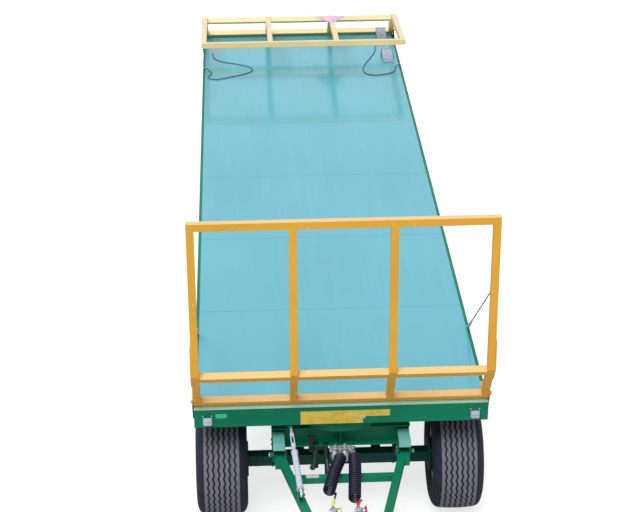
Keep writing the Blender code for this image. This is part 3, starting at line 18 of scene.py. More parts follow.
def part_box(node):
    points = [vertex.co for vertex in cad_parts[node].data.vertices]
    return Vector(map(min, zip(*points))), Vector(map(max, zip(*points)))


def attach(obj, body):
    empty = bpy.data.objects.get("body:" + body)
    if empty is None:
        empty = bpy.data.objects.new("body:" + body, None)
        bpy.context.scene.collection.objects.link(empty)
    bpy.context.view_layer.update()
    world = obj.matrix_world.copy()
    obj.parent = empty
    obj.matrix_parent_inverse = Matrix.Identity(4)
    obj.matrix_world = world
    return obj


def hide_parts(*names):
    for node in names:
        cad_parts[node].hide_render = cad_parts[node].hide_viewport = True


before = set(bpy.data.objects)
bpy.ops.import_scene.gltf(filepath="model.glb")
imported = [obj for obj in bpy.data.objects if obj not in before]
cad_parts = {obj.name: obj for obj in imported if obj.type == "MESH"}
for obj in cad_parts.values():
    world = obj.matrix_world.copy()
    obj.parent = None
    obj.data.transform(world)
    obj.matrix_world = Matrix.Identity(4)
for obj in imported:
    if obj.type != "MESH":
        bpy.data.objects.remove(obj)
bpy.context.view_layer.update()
LOG = logging.getLogger("hay_wagon")

FRONT_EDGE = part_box("front_beam")[0][1]
DECK_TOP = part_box("floor_sheet_1")[1][2]
DECK_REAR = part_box("rear_beam")[1][1]
HALF_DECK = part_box("front_beam")[1][0]

# Sizes and places of the CAD model that the small pieces are fitted to
DECK_LENGTH = 9.2
FRONT_AXLE_PLACE = 0.49
REAR_AXLE_PLACE = 7.3
SPRING_SPREAD = 0.52
TYRE_RADIUS = 0.4737
HALF_TREAD = 0.150
CROWN_FALL = 0.35
FRAME_SETBACK = 0.05
FRAME_RISE = 0.05
FRAME_TUBE = 0.06
FRAME_KINK_OUT = 0.272
FRAME_KINK_RISE = 0.403
ANCHOR_PLACE = 1.25
LUG_INSET = 0.015
LUG_RISE = 0.022
PIVOT_PLACE = 0.03
PIVOT_HEIGHT = 0.80
PIVOT_SPREAD = 0.52
CHANNEL_BOTTOM = 0.82
FIT_GAP = 0.0003

# A reach past every side of the wagon
FAR = 9.0

Point = tuple[float, float, float]
Socket = bpy.types.NodeSocket


def at(across: float, place: float, height: float) -> Vector:
    """A point from its place across, its distance behind the front edge, and its height."""
    return Vector((across, FRONT_EDGE + place, height))


class Side(Enum):
    """The two sides of the wagon, with the sign of X on each."""

    LEFT = -1
    RIGHT = 1

    @property
    def word(self) -> str:
        """The side's name as the CAD nodes spell it."""
        return self.name.lower()


class Colour(Enum):
    """The paints and plastics of the wagon as linear red, green and blue."""

    BODY_GREEN = (0.003, 0.200, 0.105)
    HOOK_GREEN = (0.004, 0.030, 0.024)
    # Painted sheen: green lightened to the sky's reflection on the pin covers' sloping tops
    COVER_GREEN = (0.170, 0.500, 0.470)
    # Painted highlight: the pale line of the front beam's top lip, lit by the sky
    EDGE_PALE = (0.420, 0.720, 0.640)
    # The deck's dark teal paint, lightened and blued by a painted reflection of the sky
    DECK_TEAL = (0.102, 0.460, 0.580)
    FRAME_YELLOW = (0.800, 0.400, 0.032)
    FADED_YELLOW = (0.860, 0.560, 0.160)
    # Painted highlight on the top faces of the lit rear frame
    IVORY = (0.900, 0.820, 0.620)
    # Painted highlight on the front frame's top faces; also the wear colour of the lit rear frame
    CREAM = (0.930, 0.800, 0.540)
    # The frame yellow painted paler for the folded rear frame, which lies lit from above: painted light
    PALE_YELLOW = (0.880, 0.620, 0.260)
    # The body green painted darker for the axles, for the shade under the wagon: painted shade
    AXLE_GREEN = (0.003, 0.075, 0.058)
    ZINC = (0.560, 0.630, 0.720)
    BRIGHT_ZINC = (0.660, 0.720, 0.860)
    TREAD_GREY = (0.178, 0.172, 0.208)
    TYRE_BLACK = (0.012, 0.014, 0.030)
    SILVER_PAINT = (0.560, 0.570, 0.600)
    SPRING_BLACK = (0.012, 0.012, 0.014)
    HOSE_BLACK = (0.003, 0.004, 0.020)
    # Painted highlight on the upper side of the hose's turns
    HOSE_BLUE = (0.030, 0.040, 0.115)
    ROPE_GREY = (0.055, 0.110, 0.130)
    CHOCK_GREY = (0.340, 0.400, 0.480)
    LENS_CLEAR = (0.500, 0.560, 0.700)
    LENS_RED = (0.500, 0.010, 0.012)
    LENS_AMBER = (0.800, 0.230, 0.010)
    LABEL_YELLOW = (0.760, 0.540, 0.070)
    LABEL_GREEN = (0.030, 0.560, 0.310)
    # The warning sign's red painted pale pink: painted glare over its real red
    SIGN_PINK = (0.880, 0.500, 0.650)
    SIGN_RED = (0.820, 0.400, 0.560)
    CAP_YELLOW = (0.850, 0.720, 0.080)
    CAP_RED = (0.640, 0.020, 0.060)
    CAST_SILVER = (0.520, 0.550, 0.600)
    DARK_RUBBER = (0.012, 0.012, 0.014)


class ShaderBoard:
    """A short way to lay out the nodes of one material."""

    def __init__(self, name: str) -> None:
        """Make the material and find its Principled shader.

        Args:
            name: The material's name.
        """
        self.material = bpy.data.materials.new(name)
        self.material.use_nodes = True
        self.tree = self.material.node_tree
        self.shader = self.tree.nodes["Principled BSDF"]
        self.coordinates = self.node("ShaderNodeTexCoord")
        self.place = self.coordinates.outputs["Object"]

    def node(self, kind: str, **settings: object) -> bpy.types.Node:
        """Add a node and set its properties.

        Args:
            kind: The node's type.
            settings: Its properties by name.

        Returns:
            The new node.
        """
        made = self.tree.nodes.new(kind)
        for key, value in settings.items():
            setattr(made, key, value)
        return made

    def link(self, source: Socket, target: Socket) -> None:
        """Join an output to an input."""
        self.tree.links.new(source, target)

    def noise(self, scale: float, detail: float = 2.0, stretch: Point = (1.0, 1.0, 1.0)) -> Socket:
        """A noise over the object's own places.

        Args:
            scale: Waves a metre.
            detail: Octaves.
            stretch: A factor for each axis.

        Returns:
            The noise's value.
        """
        mapping = self.node("ShaderNodeMapping")
        mapping.inputs["Scale"].default_value = stretch
        self.link(self.place, mapping.inputs["Vector"])
        texture = self.node("ShaderNodeTexNoise")
        texture.inputs["Scale"].default_value = scale
        texture.inputs["Detail"].default_value = detail
        self.link(mapping.outputs["Vector"], texture.inputs["Vector"])
        return texture.outputs["Fac"]

    def ramp(
        self,
        source: Socket,
        low: float,
        high: float,
        first: Sequence[float],
        last: Sequence[float],
    ) -> Socket:
        """A blend between two colours as a value runs from low to high.

        Args:
            source: The value.
            low: Where the first colour ends.
            high: Where the last colour begins.
            first: The first colour.
            last: The last colour.

        Returns:
            The blended colour.
        """
        ramp = self.node("ShaderNodeValToRGB")
        ramp.color_ramp.elements[0].position = low
        ramp.color_ramp.elements[0].color = (*first, 1.0)
        ramp.color_ramp.elements[1].position = high
        ramp.color_ramp.elements[1].color = (*last, 1.0)
        self.link(source, ramp.inputs["Fac"])
        return ramp.outputs["Color"]

    def mix(self, share: Socket, first: Socket, last: Sequence[float]) -> Socket:
        """Mix a colour into another.

        Args:
            share: The share of the last colour.
            first: The first colour's socket.
            last: The last colour.

        Returns:
            The mixed colour.
        """
        mixer = self.node("ShaderNodeMix", data_type="RGBA")
        self.link(share, mixer.inputs[0])
        self.link(first, mixer.inputs[6])
        mixer.inputs[7].default_value = (*last, 1.0)
        return mixer.outputs[2]

    def maths(self, kind: str, first: Socket, *others: Socket | float) -> Socket:
        """A sum on a value.

        Args:
            kind: The sum, such as MULTIPLY.
            first: The first value.
            others: The other values or numbers.

        Returns:
            The result.
        """
        node = self.node("ShaderNodeMath", operation=kind)
        self.link(first, node.inputs[0])
        for index, other in enumerate(others, 1):
            if isinstance(other, Socket):
                self.link(other, node.inputs[index])
            else:
                node.inputs[index].default_value = other
        return node.outputs["Value"]

    def upward(self, share: float) -> Socket:
        """How far the surface looks up, as a share for a mix that paints a highlight on top faces.

        Args:
            share: The result where it looks straight up.

        Returns:
            The value.
        """
        axes = self.node("ShaderNodeSeparateXYZ")
        self.link(self.coordinates.outputs["Normal"], axes.inputs["Vector"])
        return self.span(axes.outputs["Z"], (0.55, 0.95), (0.0, share))

    def span(
        self,
        source: Socket,
        given: tuple[float, float] = (0.0, 1.0),
        wanted: tuple[float, float] = (0.0, 1.0),
    ) -> Socket:
        """Stretch a value from one span to another, held at its ends.

        Args:
            source: The value.
            given: The span that it comes in.
            wanted: The span that it is stretched to.

        Returns:
            The stretched value.
        """
        stretch = self.node("ShaderNodeMapRange")
        stretch.inputs["From Min"].default_value = given[0]
        stretch.inputs["From Max"].default_value = given[1]
        stretch.inputs["To Min"].default_value = wanted[0]
        stretch.inputs["To Max"].default_value = wanted[1]
        self.link(source, stretch.inputs["Value"])
        return stretch.outputs["Result"]

    def roughen(self, source: Socket, least: float, most: float) -> None:
        """Let a value run the roughness from least to most."""
        self.link(self.span(source, wanted=(least, most)), self.shader.inputs["Roughness"])

    def zone(self, low: Sequence[float], high: Sequence[float]) -> Socket:
        """1 between two corners of the object's own places and 0 elsewhere.

        Args:
            low: The low corner.
            high: The high corner.

        Returns:
            The value.
        """
        axes = self.node("ShaderNodeSeparateXYZ")
        self.link(self.place, axes.inputs["Vector"])
        inside = None
        for axis, least, most in zip("XYZ", low, high):
            for kind, limit in (("GREATER_THAN", least), ("LESS_THAN", most)):
                test = self.maths(kind, axes.outputs[axis], limit)
                inside = test if inside is None else self.maths("MULTIPLY", inside, test)
        return inside

    def bump(self, height: Socket, strength: float, distance: float) -> None:
        """Raise the surface by a value, over what earlier calls raised.

        Args:
            height: The value.
            strength: How much of it counts.
            distance: The height of a value of 1.
        """
        bump = self.node("ShaderNodeBump")
        bump.inputs["Strength"].default_value = strength
        bump.inputs["Distance"].default_value = distance
        self.link(height, bump.inputs["Height"])
        normal = self.shader.inputs["Normal"]
        if normal.is_linked:
            self.link(normal.links[0].from_socket, bump.inputs["Normal"])
        self.link(bump.outputs["Normal"], normal)

    def soften_edges(self, radius: float) -> None:
        """Round the look of sharp edges."""
        bevel = self.node("ShaderNodeBevel", samples=4)
        bevel.inputs["Radius"].default_value = radius
        self.link(bevel.outputs["Normal"], self.shader.inputs["Normal"])


def shade(colour: Sequence[float], factor: float) -> tuple[float, float, float]:
    """A colour made lighter or darker, kept below full white."""
    return tuple(min(0.95, part * factor) for part in colour)


@dataclass(frozen=True)
class Paint:
    """A sprayed paint with soft patches, dust in its roughness and a little orange peel."""

    name: str
    colour: Colour
    roughness: float = 0.32
    patchiness: float = 0.12
    wear: Colour | None = None
    wear_from: float = 0.66
    edge: float = 0.002
    specular: float = 0.5
    # upper: the colour of a painted highlight on faces that look up
    upper: Colour | None = None
    second: Colour | None = None
    second_zone: tuple[Point, Point] = ((-FAR, -FAR, 0.0), (FAR, FAR, FAR))

    def material(self) -> bpy.types.Material:
        """The paint as a material."""
        board = ShaderBoard(self.name)
        base = self.colour.value
        if self.edge:
            board.soften_edges(self.edge)
        darker, lighter = shade(base, 1.0 - self.patchiness), shade(base, 1.0 + self.patchiness)
        colour = board.ramp(board.noise(1.7, 4.0), 0.3, 0.72, darker, lighter)
        if self.wear is not None:
            scuffs = board.noise(26.0, 6.0, (1.0, 0.6, 1.0))
            share = board.ramp(scuffs, self.wear_from, self.wear_from + 0.06, (0, 0, 0), (1, 1, 1))
            colour = board.mix(share, colour, self.wear.value)
        # Faces that look up are mixed towards the upper colour: a painted highlight from the light above
        if self.upper is not None:
            colour = board.mix(board.upward(0.5), colour, self.upper.value)
        if self.second is not None:
            colour = board.mix(board.zone(*self.second_zone), colour, self.second.value)
        board.link(colour, board.shader.inputs["Base Color"])
        board.shader.inputs["Specular IOR Level"].default_value = self.specular
        board.roughen(board.noise(9.0, 3.0), self.roughness - 0.07, self.roughness + 0.10)
        board.bump(board.noise(260.0, 1.0), 0.05, 0.0008)
        return board.material


@dataclass(frozen=True)
class DeckPaint:
    """The floor's glossy paint over sheet steel, with its welded seams, gentle waves and cleaning streaks."""

    name: str
    colour: Colour
    seam_pitch: float = 1.5
    seam_width: float = 0.010
    roughness: float = 0.13

    def material(self) -> bpy.types.Material:
        """The floor's paint as a material."""
        board = ShaderBoard(self.name)
        base = self.colour.value
        patches = board.noise(0.9, 3.0, (1.0, 0.5, 1.0))
        colour = board.ramp(patches, 0.3, 0.7, shade(base, 0.94), shade(base, 1.05))
        streaks = board.noise(9.0, 5.0, (1.6, 0.12, 1.0))
        faint = board.ramp(streaks, 0.46, 0.74, (0.0, 0.0, 0.0), (0.16, 0.16, 0.16))
        colour = board.mix(faint, colour, shade(base, 1.35))
        seam = self.seam(board)
        shadow = board.maths("MULTIPLY", seam, 0.45)
        colour = board.mix(shadow, colour, shade(base, 0.45))
        board.link(colour, board.shader.inputs["Base Color"])
        smears = board.noise(3.5, 5.0, (1.0, 0.35, 1.0))
        board.roughen(smears, self.roughness - 0.05, self.roughness + 0.14)
        board.shader.inputs["Coat Weight"].default_value = 0.4
        board.shader.inputs["Coat Roughness"].default_value = 0.06
        board.bump(board.noise(1.4, 1.5, (1.0, 0.8, 1.0)), 0.55, 0.006)
        board.bump(board.noise(7.0, 1.0), 0.25, 0.0012)
        board.bump(seam, 0.5, -0.0008)
        return board.material

    def seam(self, board: ShaderBoard) -> Socket:
        """1 on the line between two floor sheets and 0 elsewhere.

        Args:
            board: The material's nodes.

        Returns:
            The value.
        """
        axes = board.node("ShaderNodeSeparateXYZ")
        board.link(board.place, axes.inputs["Vector"])
        last_seam = DECK_REAR / self.seam_pitch
        behind = board.maths("MULTIPLY_ADD", axes.outputs["Y"], -1.0 / self.seam_pitch, last_seam)
        nearest = board.maths("ROUND", behind)
        gap = board.maths("ABSOLUTE", board.maths("SUBTRACT", behind, nearest))
        share = self.seam_width / self.seam_pitch / 2
        near = board.maths("LESS_THAN", gap, share)
        inside = board.maths("GREATER_THAN", behind, 0.5)
        return board.maths("MULTIPLY", near, inside)


@dataclass(frozen=True)
class Zinc:
    """Zinc plating or bare cast metal, with a dull grain."""

    name: str
    colour: Colour = Colour.ZINC
    roughness: float = 0.38
    metallic: float = 0.55
    grain: float = 60.0
    edge: float = 0.0012

    def material(self) -> bpy.types.Material:
        """The plating as a material."""
        board = ShaderBoard(self.name)
        board.soften_edges(self.edge)
        grain = board.noise(self.grain, 5.0)
        base = self.colour.value
        colour = board.ramp(grain, 0.3, 0.75, shade(base, 0.78), shade(base, 1.12))
        board.link(colour, board.shader.inputs["Base Color"])
        board.shader.inputs["Metallic"].default_value = self.metallic
        board.roughen(board.noise(self.grain * 0.4, 4.0), self.roughness - 0.08, self.roughness + 0.16)
        board.bump(grain, 0.12, 0.0006)
        return board.material


@dataclass(frozen=True)
class TreadRubber:
    """Tyre rubber: dusty grey on the tread's ribs, dark in the grooves and on the walls."""

    name: str
    dusty_depth: float = 0.002
    clean_depth: float = 0.007

    def material(self) -> bpy.types.Material:
        """The rubber as a material, with the wheel's middle at its object's origin."""
        board = ShaderBoard(self.name)
        axes = board.node("ShaderNodeSeparateXYZ")
        board.link(board.place, axes.inputs["Vector"])
        square = board.maths("MULTIPLY", axes.outputs["Y"], axes.outputs["Y"])
        square = board.maths("MULTIPLY_ADD", axes.outputs["Z"], axes.outputs["Z"], square)
        reach = board.maths("SQRT", square)
        across = board.maths("ABSOLUTE", axes.outputs["X"])
        crown = board.maths("MULTIPLY", board.maths("MULTIPLY", across, across), CROWN_FALL)
        level = board.maths("ADD", reach, crown)
        on_top = board.span(level, (TYRE_RADIUS - self.clean_depth, TYRE_RADIUS - self.dusty_depth))
        on_tread = board.span(across, (HALF_TREAD + 0.006, HALF_TREAD - 0.004))
        worn = board.maths("MULTIPLY", on_top, on_tread)
        dust = board.noise(14.0, 5.0)
        worn = board.maths("MULTIPLY", worn, board.maths("MULTIPLY_ADD", dust, 0.7, 0.55))
        black = Colour.TYRE_BLACK.value
        dark = board.ramp(dust, 0.3, 0.8, shade(black, 0.7), shade(black, 1.7))
        colour = board.mix(worn, dark, Colour.TREAD_GREY.value)
        board.link(colour, board.shader.inputs["Base Color"])
        board.shader.inputs["Roughness"].default_value = 0.72
        board.shader.inputs["Specular IOR Level"].default_value = 0.35
        board.bump(board.noise(220.0, 3.0), 0.25, 0.0008)
        return board.material


@dataclass(frozen=True)
class Plastic:
    """Moulded plastic or rubber with a fine skin."""

    name: str
    colour: Colour
    roughness: float = 0.4
    grain: float = 180.0
    coat: float = 0.0

    def material(self) -> bpy.types.Material:
        """The plastic as a material."""
        board = ShaderBoard(self.name)
        base = self.colour.value
        patches = board.noise(18.0, 3.0)
        colour = board.ramp(patches, 0.3, 0.7, shade(base, 0.86), shade(base, 1.16))
        board.link(colour, board.shader.inputs["Base Color"])
        board.roughen(patches, self.roughness - 0.06, self.roughness + 0.08)
        board.shader.inputs["Coat Weight"].default_value = self.coat
        board.bump(board.noise(self.grain, 2.0), 0.08, 0.0004)
        return board.material


class FinishShelf:
    """Every finish of the wagon, made once and handed out by name."""

    def __init__(self, finishes: Iterable[object]) -> None:
        """Make the materials.

        Args:
            finishes: The finishes, each with a name and a material method.
        """
        self.materials = {finish.name: finish.material() for finish in finishes}

    def __getitem__(self, name: str) -> bpy.types.Material:
        """The material of that name."""
        return self.materials[name]


def steady_frames(route: Sequence[Vector]) -> list[tuple[Vector, Vector]]:
    """Two directions across a route at each of its points, turning as little as they can.

    Args:
        route: The points.

    Returns:
        A pair of unit vectors for each point.
    """
    frames = []
    across = None
    for i in range(len(route)):
        ahead = route[min(i + 1, len(route) - 1)] - route[max(i - 1, 0)]
        ahead.normalize()
        if across is None:
            helper = Vector((0, 0, 1)) if abs(ahead.z) < 0.9 else Vector((1, 0, 0))
            across = ahead.cross(helper).normalized()
        else:
            across = (across - ahead * across.dot(ahead)).normalized()
        frames.append((across.copy(), ahead.cross(across).normalized()))
    return frames


def smooth_route(points: Sequence[Sequence[float]], step: float) -> list[Vector]:
    """Evenly spaced places on a smooth curve through a route's points.

    Args:
        points: The route's points.
        step: The distance between places.

    Returns:
        The places.
    """
    places = [Vector(p) for p in points]
    dense = []
    for i in range(len(places) - 1):
        before = places[max(i - 1, 0)]
        after = places[min(i + 2, len(places) - 1)]
        here, there = places[i], places[i + 1]
        for k in range(24):
            t = k / 24
            bend = (2 * before - 5 * here + 4 * there - after) * t**2
            twist = (3 * here - before - 3 * there + after) * t**3
            dense.append(0.5 * (2 * here + (there - before) * t + bend + twist))
    dense.append(places[-1])
    distance = [0.0]
    for first, second in zip(dense, dense[1:]):
        distance.append(distance[-1] + (second - first).length)
    count = max(2, round(distance[-1] / step))
    even, index = [], 0
    for i in range(count + 1):
        goal = distance[-1] * i / count
        while index < len(dense) - 2 and distance[index + 1] < goal:
            index += 1
        share = (goal - distance[index]) / max(distance[index + 1] - distance[index], 1e-9)
        even.append(dense[index].lerp(dense[index + 1], min(share, 1.0)))
    return even


def route_length(route: Sequence[Vector]) -> float:
    """The length of a run of points."""
    return sum((second - first).length for first, second in zip(route, route[1:]))


class Shape:
    """Solids gathered into one mesh."""

    def __init__(self) -> None:
        """Start with nothing."""
        self.work = bmesh.new()

    def box(self, low: Sequence[float], high: Sequence[float]) -> "Shape":
        """Add a box between two corners."""
        low, high = Vector(low), Vector(high)
        size = Matrix.Diagonal((*(high - low), 1.0))
        bmesh.ops.create_cube(self.work, size=1.0, matrix=Matrix.Translation((low + high) / 2) @ size)
        return self

    def rod(
        self,
        start: Sequence[float],
        end: Sequence[float],
        radius: float,
        sides: int = 20,
        tip: float | None = None,
    ) -> "Shape":
        """Add a round bar.

        Args:
            start: One end.
            end: The other end.
            radius: The radius at the start.
            sides: The sides round it.
            tip: The radius at the end, where it differs.

        Returns:
            The shape itself.
        """
        start, end = Vector(start), Vector(end)
        along = end - start
        turn = Vector((0, 0, 1)).rotation_difference(along).to_matrix().to_4x4()
        bmesh.ops.create_cone(
            self.work,
            cap_ends=True,
            segments=sides,
            radius1=radius,
            radius2=radius if tip is None else tip,
            depth=along.length,
            matrix=Matrix.Translation((start + end) / 2) @ turn,
        )
        return self

    def lathe(
        self,
        profile: Sequence[tuple[float, float]],
        centre: Sequence[float],
        axis: Sequence[float],
        sides: int = 32,
    ) -> "Shape":
        """Add a profile turned about an axis.

        Args:
            profile: Its points as (radius, height), closed on themselves or on the axis.
            centre: Where height is 0.
            axis: The direction of height.
            sides: The sides round it.

        Returns:
            The shape itself.
        """
        turn = Vector((0, 0, 1)).rotation_difference(Vector(axis)).to_matrix().to_4x4()
        place = Matrix.Translation(centre) @ turn
        rings = []
        for radius, height in profile:
            if radius == 0.0:
                rings.append([self.work.verts.new(place @ Vector((0, 0, height)))])
                continue
            corners = []
            for k in range(sides):
                angle = 2 * math.pi * k / sides
                corner = Vector((radius * math.cos(angle), radius * math.sin(angle), height))
                corners.append(self.work.verts.new(place @ corner))
            rings.append(corners)
        pairs = list(zip(rings, rings[1:]))
        if len(rings[0]) > 1 and len(rings[-1]) > 1:
            pairs.append((rings[-1], rings[0]))
        for first, second in pairs:
            self.bridge(first, second)
        return self

    def bridge(self, first: list, second: list) -> None:
        """Close the band between two rings, either of which may be a single corner."""
        sides = max(len(first), len(second))
        for k in range(sides):
            n = (k + 1) % sides
            if len(first) == 1:
                self.work.faces.new((first[0], second[n], second[k]))
            elif len(second) == 1:
                self.work.faces.new((first[k], first[n], second[0]))
            else:
                self.work.faces.new((first[k], first[n], second[n], second[k]))

    def sweep(
        self,
        route: Sequence[Vector],
        radius: float,
        sides: int = 8,
        strands: int = 0,
        lay: float = 0.03,
    ) -> "Shape":
        """Add a tube along a route, smooth or laid up from strands.

        Args:
            route: The middle line.
            radius: The outer radius.
            sides: The sides round it.
            strands: The number of strands, or 0 for a smooth tube.
            lay: The length in which a strand goes once round.

        Returns:
            The shape itself.
        """
        rings, travelled = [], 0.0
        frames = steady_frames(route)
        for i, (point, (across, above)) in enumerate(zip(route, frames)):
            if i:
                travelled += (point - route[i - 1]).length
            corners = []
            for k in range(sides):
                angle = 2 * math.pi * k / sides
                reach = radius
                if strands:
                    twist = 2 * math.pi * travelled / lay
                    reach *= 0.80 + 0.20 * abs(math.cos(strands * (angle - twist) / 2))
                outward = math.cos(angle) * across + math.sin(angle) * above
                corners.append(self.work.verts.new(point + reach * outward))
            rings.append(corners)
        for first, second in zip(rings, rings[1:]):
            self.bridge(first, second)
        self.work.faces.new(rings[0][::-1])
        self.work.faces.new(rings[-1])
        return self

    def hex_head(
        self, centre: Sequence[float], axis: Sequence[float], width: float, height: float
    ) -> "Shape":
        """Add a hexagon head on its washer, standing out along an axis.

        Args:
            centre: The middle of the washer's underside.
            axis: The way out.
            width: The size across the head.
            height: The head's height.

        Returns:
            The shape itself.
        """
        out = Vector(axis).normalized()
        centre = Vector(centre)
        washer = height * 0.22
        self.rod(centre - out * 0.001, centre + out * washer, width * 0.72, 20)
        self.rod(centre + out * washer * 0.9, centre + out * height * 0.85, width * 0.56, 6)
        self.rod(centre + out * height * 0.84, centre + out * height, width * 0.55, 6, width * 0.44)
        return self

    def ring(
        self,
        centre: Sequence[float],
        axis: Sequence[float],
        major: float,
        minor: float,
        sides: int = 28,
    ) -> "Shape":
        """Add a round wire ring.

        Args:
            centre: Its middle.
            axis: Its axis.
            major: The radius to the wire's middle.
            minor: The wire's radius.
            sides: The steps round the ring.

        Returns:
            The shape itself.
        """
        steps = 10
        profile = []
        for k in range(steps):
            angle = 2 * math.pi * k / steps
            profile.append((major + minor * math.cos(angle), minor * math.sin(angle)))
        return self.lathe(profile, centre, axis, sides)

    def piece(
        self,
        name: str,
        material: bpy.types.Material,
        body: str,
        slot: str,
        stands_for: Sequence[str] = (),
        smooth: float = 38.0,
        bevel: float = 0.0,
        origin: Sequence[float] = (0.0, 0.0, 0.0),
    ) -> bpy.types.Object:
        """Turn the mesh into a piece of the wagon.

        Args:
            name: The piece's name.
            material: Its finish.
            body: The CAD body it moves with.
            slot: The name of a material slot; not used.
            stands_for: The CAD nodes that it replaces.
            smooth: The angle in degrees below which an edge is shaded smooth.
            bevel: The width of its rounded edges.
            origin: Where its own places are counted from.

        Returns:
            The piece.
        """
        bmesh.ops.recalc_face_normals(self.work, faces=self.work.faces)
        bmesh.ops.translate(self.work, verts=self.work.verts, vec=-Vector(origin))
        mesh = bpy.data.meshes.new(name)
        self.work.to_mesh(mesh)
        self.work.free()
        mesh.polygons.foreach_set("use_smooth", [True] * len(mesh.polygons))
        mesh.set_sharp_from_angle(angle=math.radians(smooth))
        mesh.materials.append(material)
        made = bpy.data.objects.new(name, mesh)
        made.location = origin
        bpy.context.scene.collection.objects.link(made)
        if bevel:
            modifier = made.modifiers.new("Edges", "BEVEL")
            modifier.width = bevel
            modifier.segments = 2
            modifier.limit_method = "ANGLE"
            modifier.angle_limit = math.radians(40)
        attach(made, body)
        if stands_for:
            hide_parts(*stands_for)
        return made


@dataclass
class Studio:
    """The camera, the lights and the white floor."""

    camera_across: float = -0.772
    camera_place: float = -12.457
    camera_height: float = 8.814
    pitch: float = 26.32
    yaw: float = 2.75
    roll: float = -0.2
    lens: float = 99.808
    sensor: float = 36.0
    view_reach: float = 400.0
    floor_reach: float = 90.0
    floor_drop: float = 0.004
    lit_grey: float = 0.62
    seen_grey: float = 0.50
    seen_glow: float = 0.72
    key_energy: float = 2.3
    key_spread: float = 35.0
    key_tilt: float = 30.0
    key_turn: float = -24.0
    sky_strength: float = 0.50

    def camera(self) -> None:
        """Set up the photograph's view."""
        made = bpy.data.objects.new("camera", bpy.data.cameras.new("camera"))
        made.data.lens = self.lens
        made.data.sensor_width = self.sensor
        made.data.clip_end = self.view_reach
        pitch, yaw, roll = (math.radians(a) for a in (self.pitch, self.yaw, self.roll))
        level = math.cos(pitch)
        ahead = Vector((math.sin(yaw) * level, math.cos(yaw) * level, -math.sin(pitch)))
        right = Vector((math.cos(yaw), -math.sin(yaw), 0))
        above = right.cross(ahead)
        turned_right = math.cos(roll) * right + math.sin(roll) * above
        turned_above = -math.sin(roll) * right + math.cos(roll) * above
        turn = Matrix((turned_right, turned_above, -ahead)).transposed().to_4x4()
        spot = at(self.camera_across, self.camera_place, self.camera_height)
        made.matrix_world = Matrix.Translation(spot) @ turn
        bpy.context.scene.collection.objects.link(made)
        bpy.context.scene.camera = made

    def lights(self) -> None:
        """A soft key from above the front left, and a white sky."""
        lamp = bpy.data.lights.new("key", "SUN")
        lamp.energy = self.key_energy
        lamp.angle = math.radians(self.key_spread)
        key = bpy.data.objects.new("key", lamp)
        key.rotation_euler = (math.radians(self.key_tilt), 0, math.radians(self.key_turn))
        bpy.context.scene.collection.objects.link(key)
        world = bpy.data.worlds.new("sky")
        bpy.context.scene.world = world
        world.use_nodes = True
        tree = world.node_tree
        tree.nodes.clear()
        rays = tree.nodes.new("ShaderNodeLightPath")
        plain = tree.nodes.new("ShaderNodeBackground")
        plain.inputs["Color"].default_value = (1.0, 1.0, 1.0, 1.0)
        plain.inputs["Strength"].default_value = self.sky_strength
        white = tree.nodes.new("ShaderNodeBackground")
        white.inputs["Strength"].default_value = 1.0
        seen = tree.nodes.new("ShaderNodeMath")
        seen.operation = "MAXIMUM"
        tree.links.new(rays.outputs["Is Camera Ray"], seen.inputs[0])
        tree.links.new(rays.outputs["Is Glossy Ray"], seen.inputs[1])
        mixer = tree.nodes.new("ShaderNodeMixShader")
        tree.links.new(seen.outputs["Value"], mixer.inputs["Fac"])
        tree.links.new(plain.outputs["Background"], mixer.inputs[1])
        tree.links.new(white.outputs["Background"], mixer.inputs[2])
        output = tree.nodes.new("ShaderNodeOutputWorld")
        tree.links.new(mixer.outputs["Shader"], output.inputs["Surface"])

    def floor(self) -> None:
        """A pale floor that the camera sees as white, with the wagon's shadow on it."""
        shape = Shape()
        bmesh.ops.create_grid(shape.work, x_segments=1, y_segments=1, size=self.floor_reach)
        mesh = bpy.data.meshes.new("floor")
        shape.work.to_mesh(mesh)
        shape.work.free()
        made = bpy.data.objects.new("floor", mesh)
        made.location = (0, 0, -self.floor_drop)
        bpy.context.scene.collection.objects.link(made)
        material = bpy.data.materials.new("floor white")
        material.use_nodes = True
        tree = material.node_tree
        tree.nodes.clear()
        rays = tree.nodes.new("ShaderNodeLightPath")
        matt = tree.nodes.new("ShaderNodeBsdfDiffuse")
        matt.inputs["Color"].default_value = (self.lit_grey, self.lit_grey, self.lit_grey, 1.0)
        bright = tree.nodes.new("ShaderNodeBsdfDiffuse")
        bright.inputs["Color"].default_value = (self.seen_grey, self.seen_grey, self.seen_grey, 1.0)
        glow = tree.nodes.new("ShaderNodeEmission")
        glow.inputs["Strength"].default_value = self.seen_glow
        both = tree.nodes.new("ShaderNodeAddShader")
        tree.links.new(bright.outputs["BSDF"], both.inputs[0])
        tree.links.new(glow.outputs["Emission"], both.inputs[1])
        mixer = tree.nodes.new("ShaderNodeMixShader")
        tree.links.new(rays.outputs["Is Camera Ray"], mixer.inputs["Fac"])
        tree.links.new(matt.outputs["BSDF"], mixer.inputs[1])
        tree.links.new(both.outputs["Shader"], mixer.inputs[2])
        output = tree.nodes.new("ShaderNodeOutputMaterial")
        tree.links.new(mixer.outputs["Shader"], output.inputs["Surface"])
        mesh.materials.append(material)

    def build(self) -> None:
        """Set up everything that isn't part of the wagon."""
        self.camera()
        self.lights()
        self.floor()
        bpy.context.scene.view_settings.view_transform = "Standard"


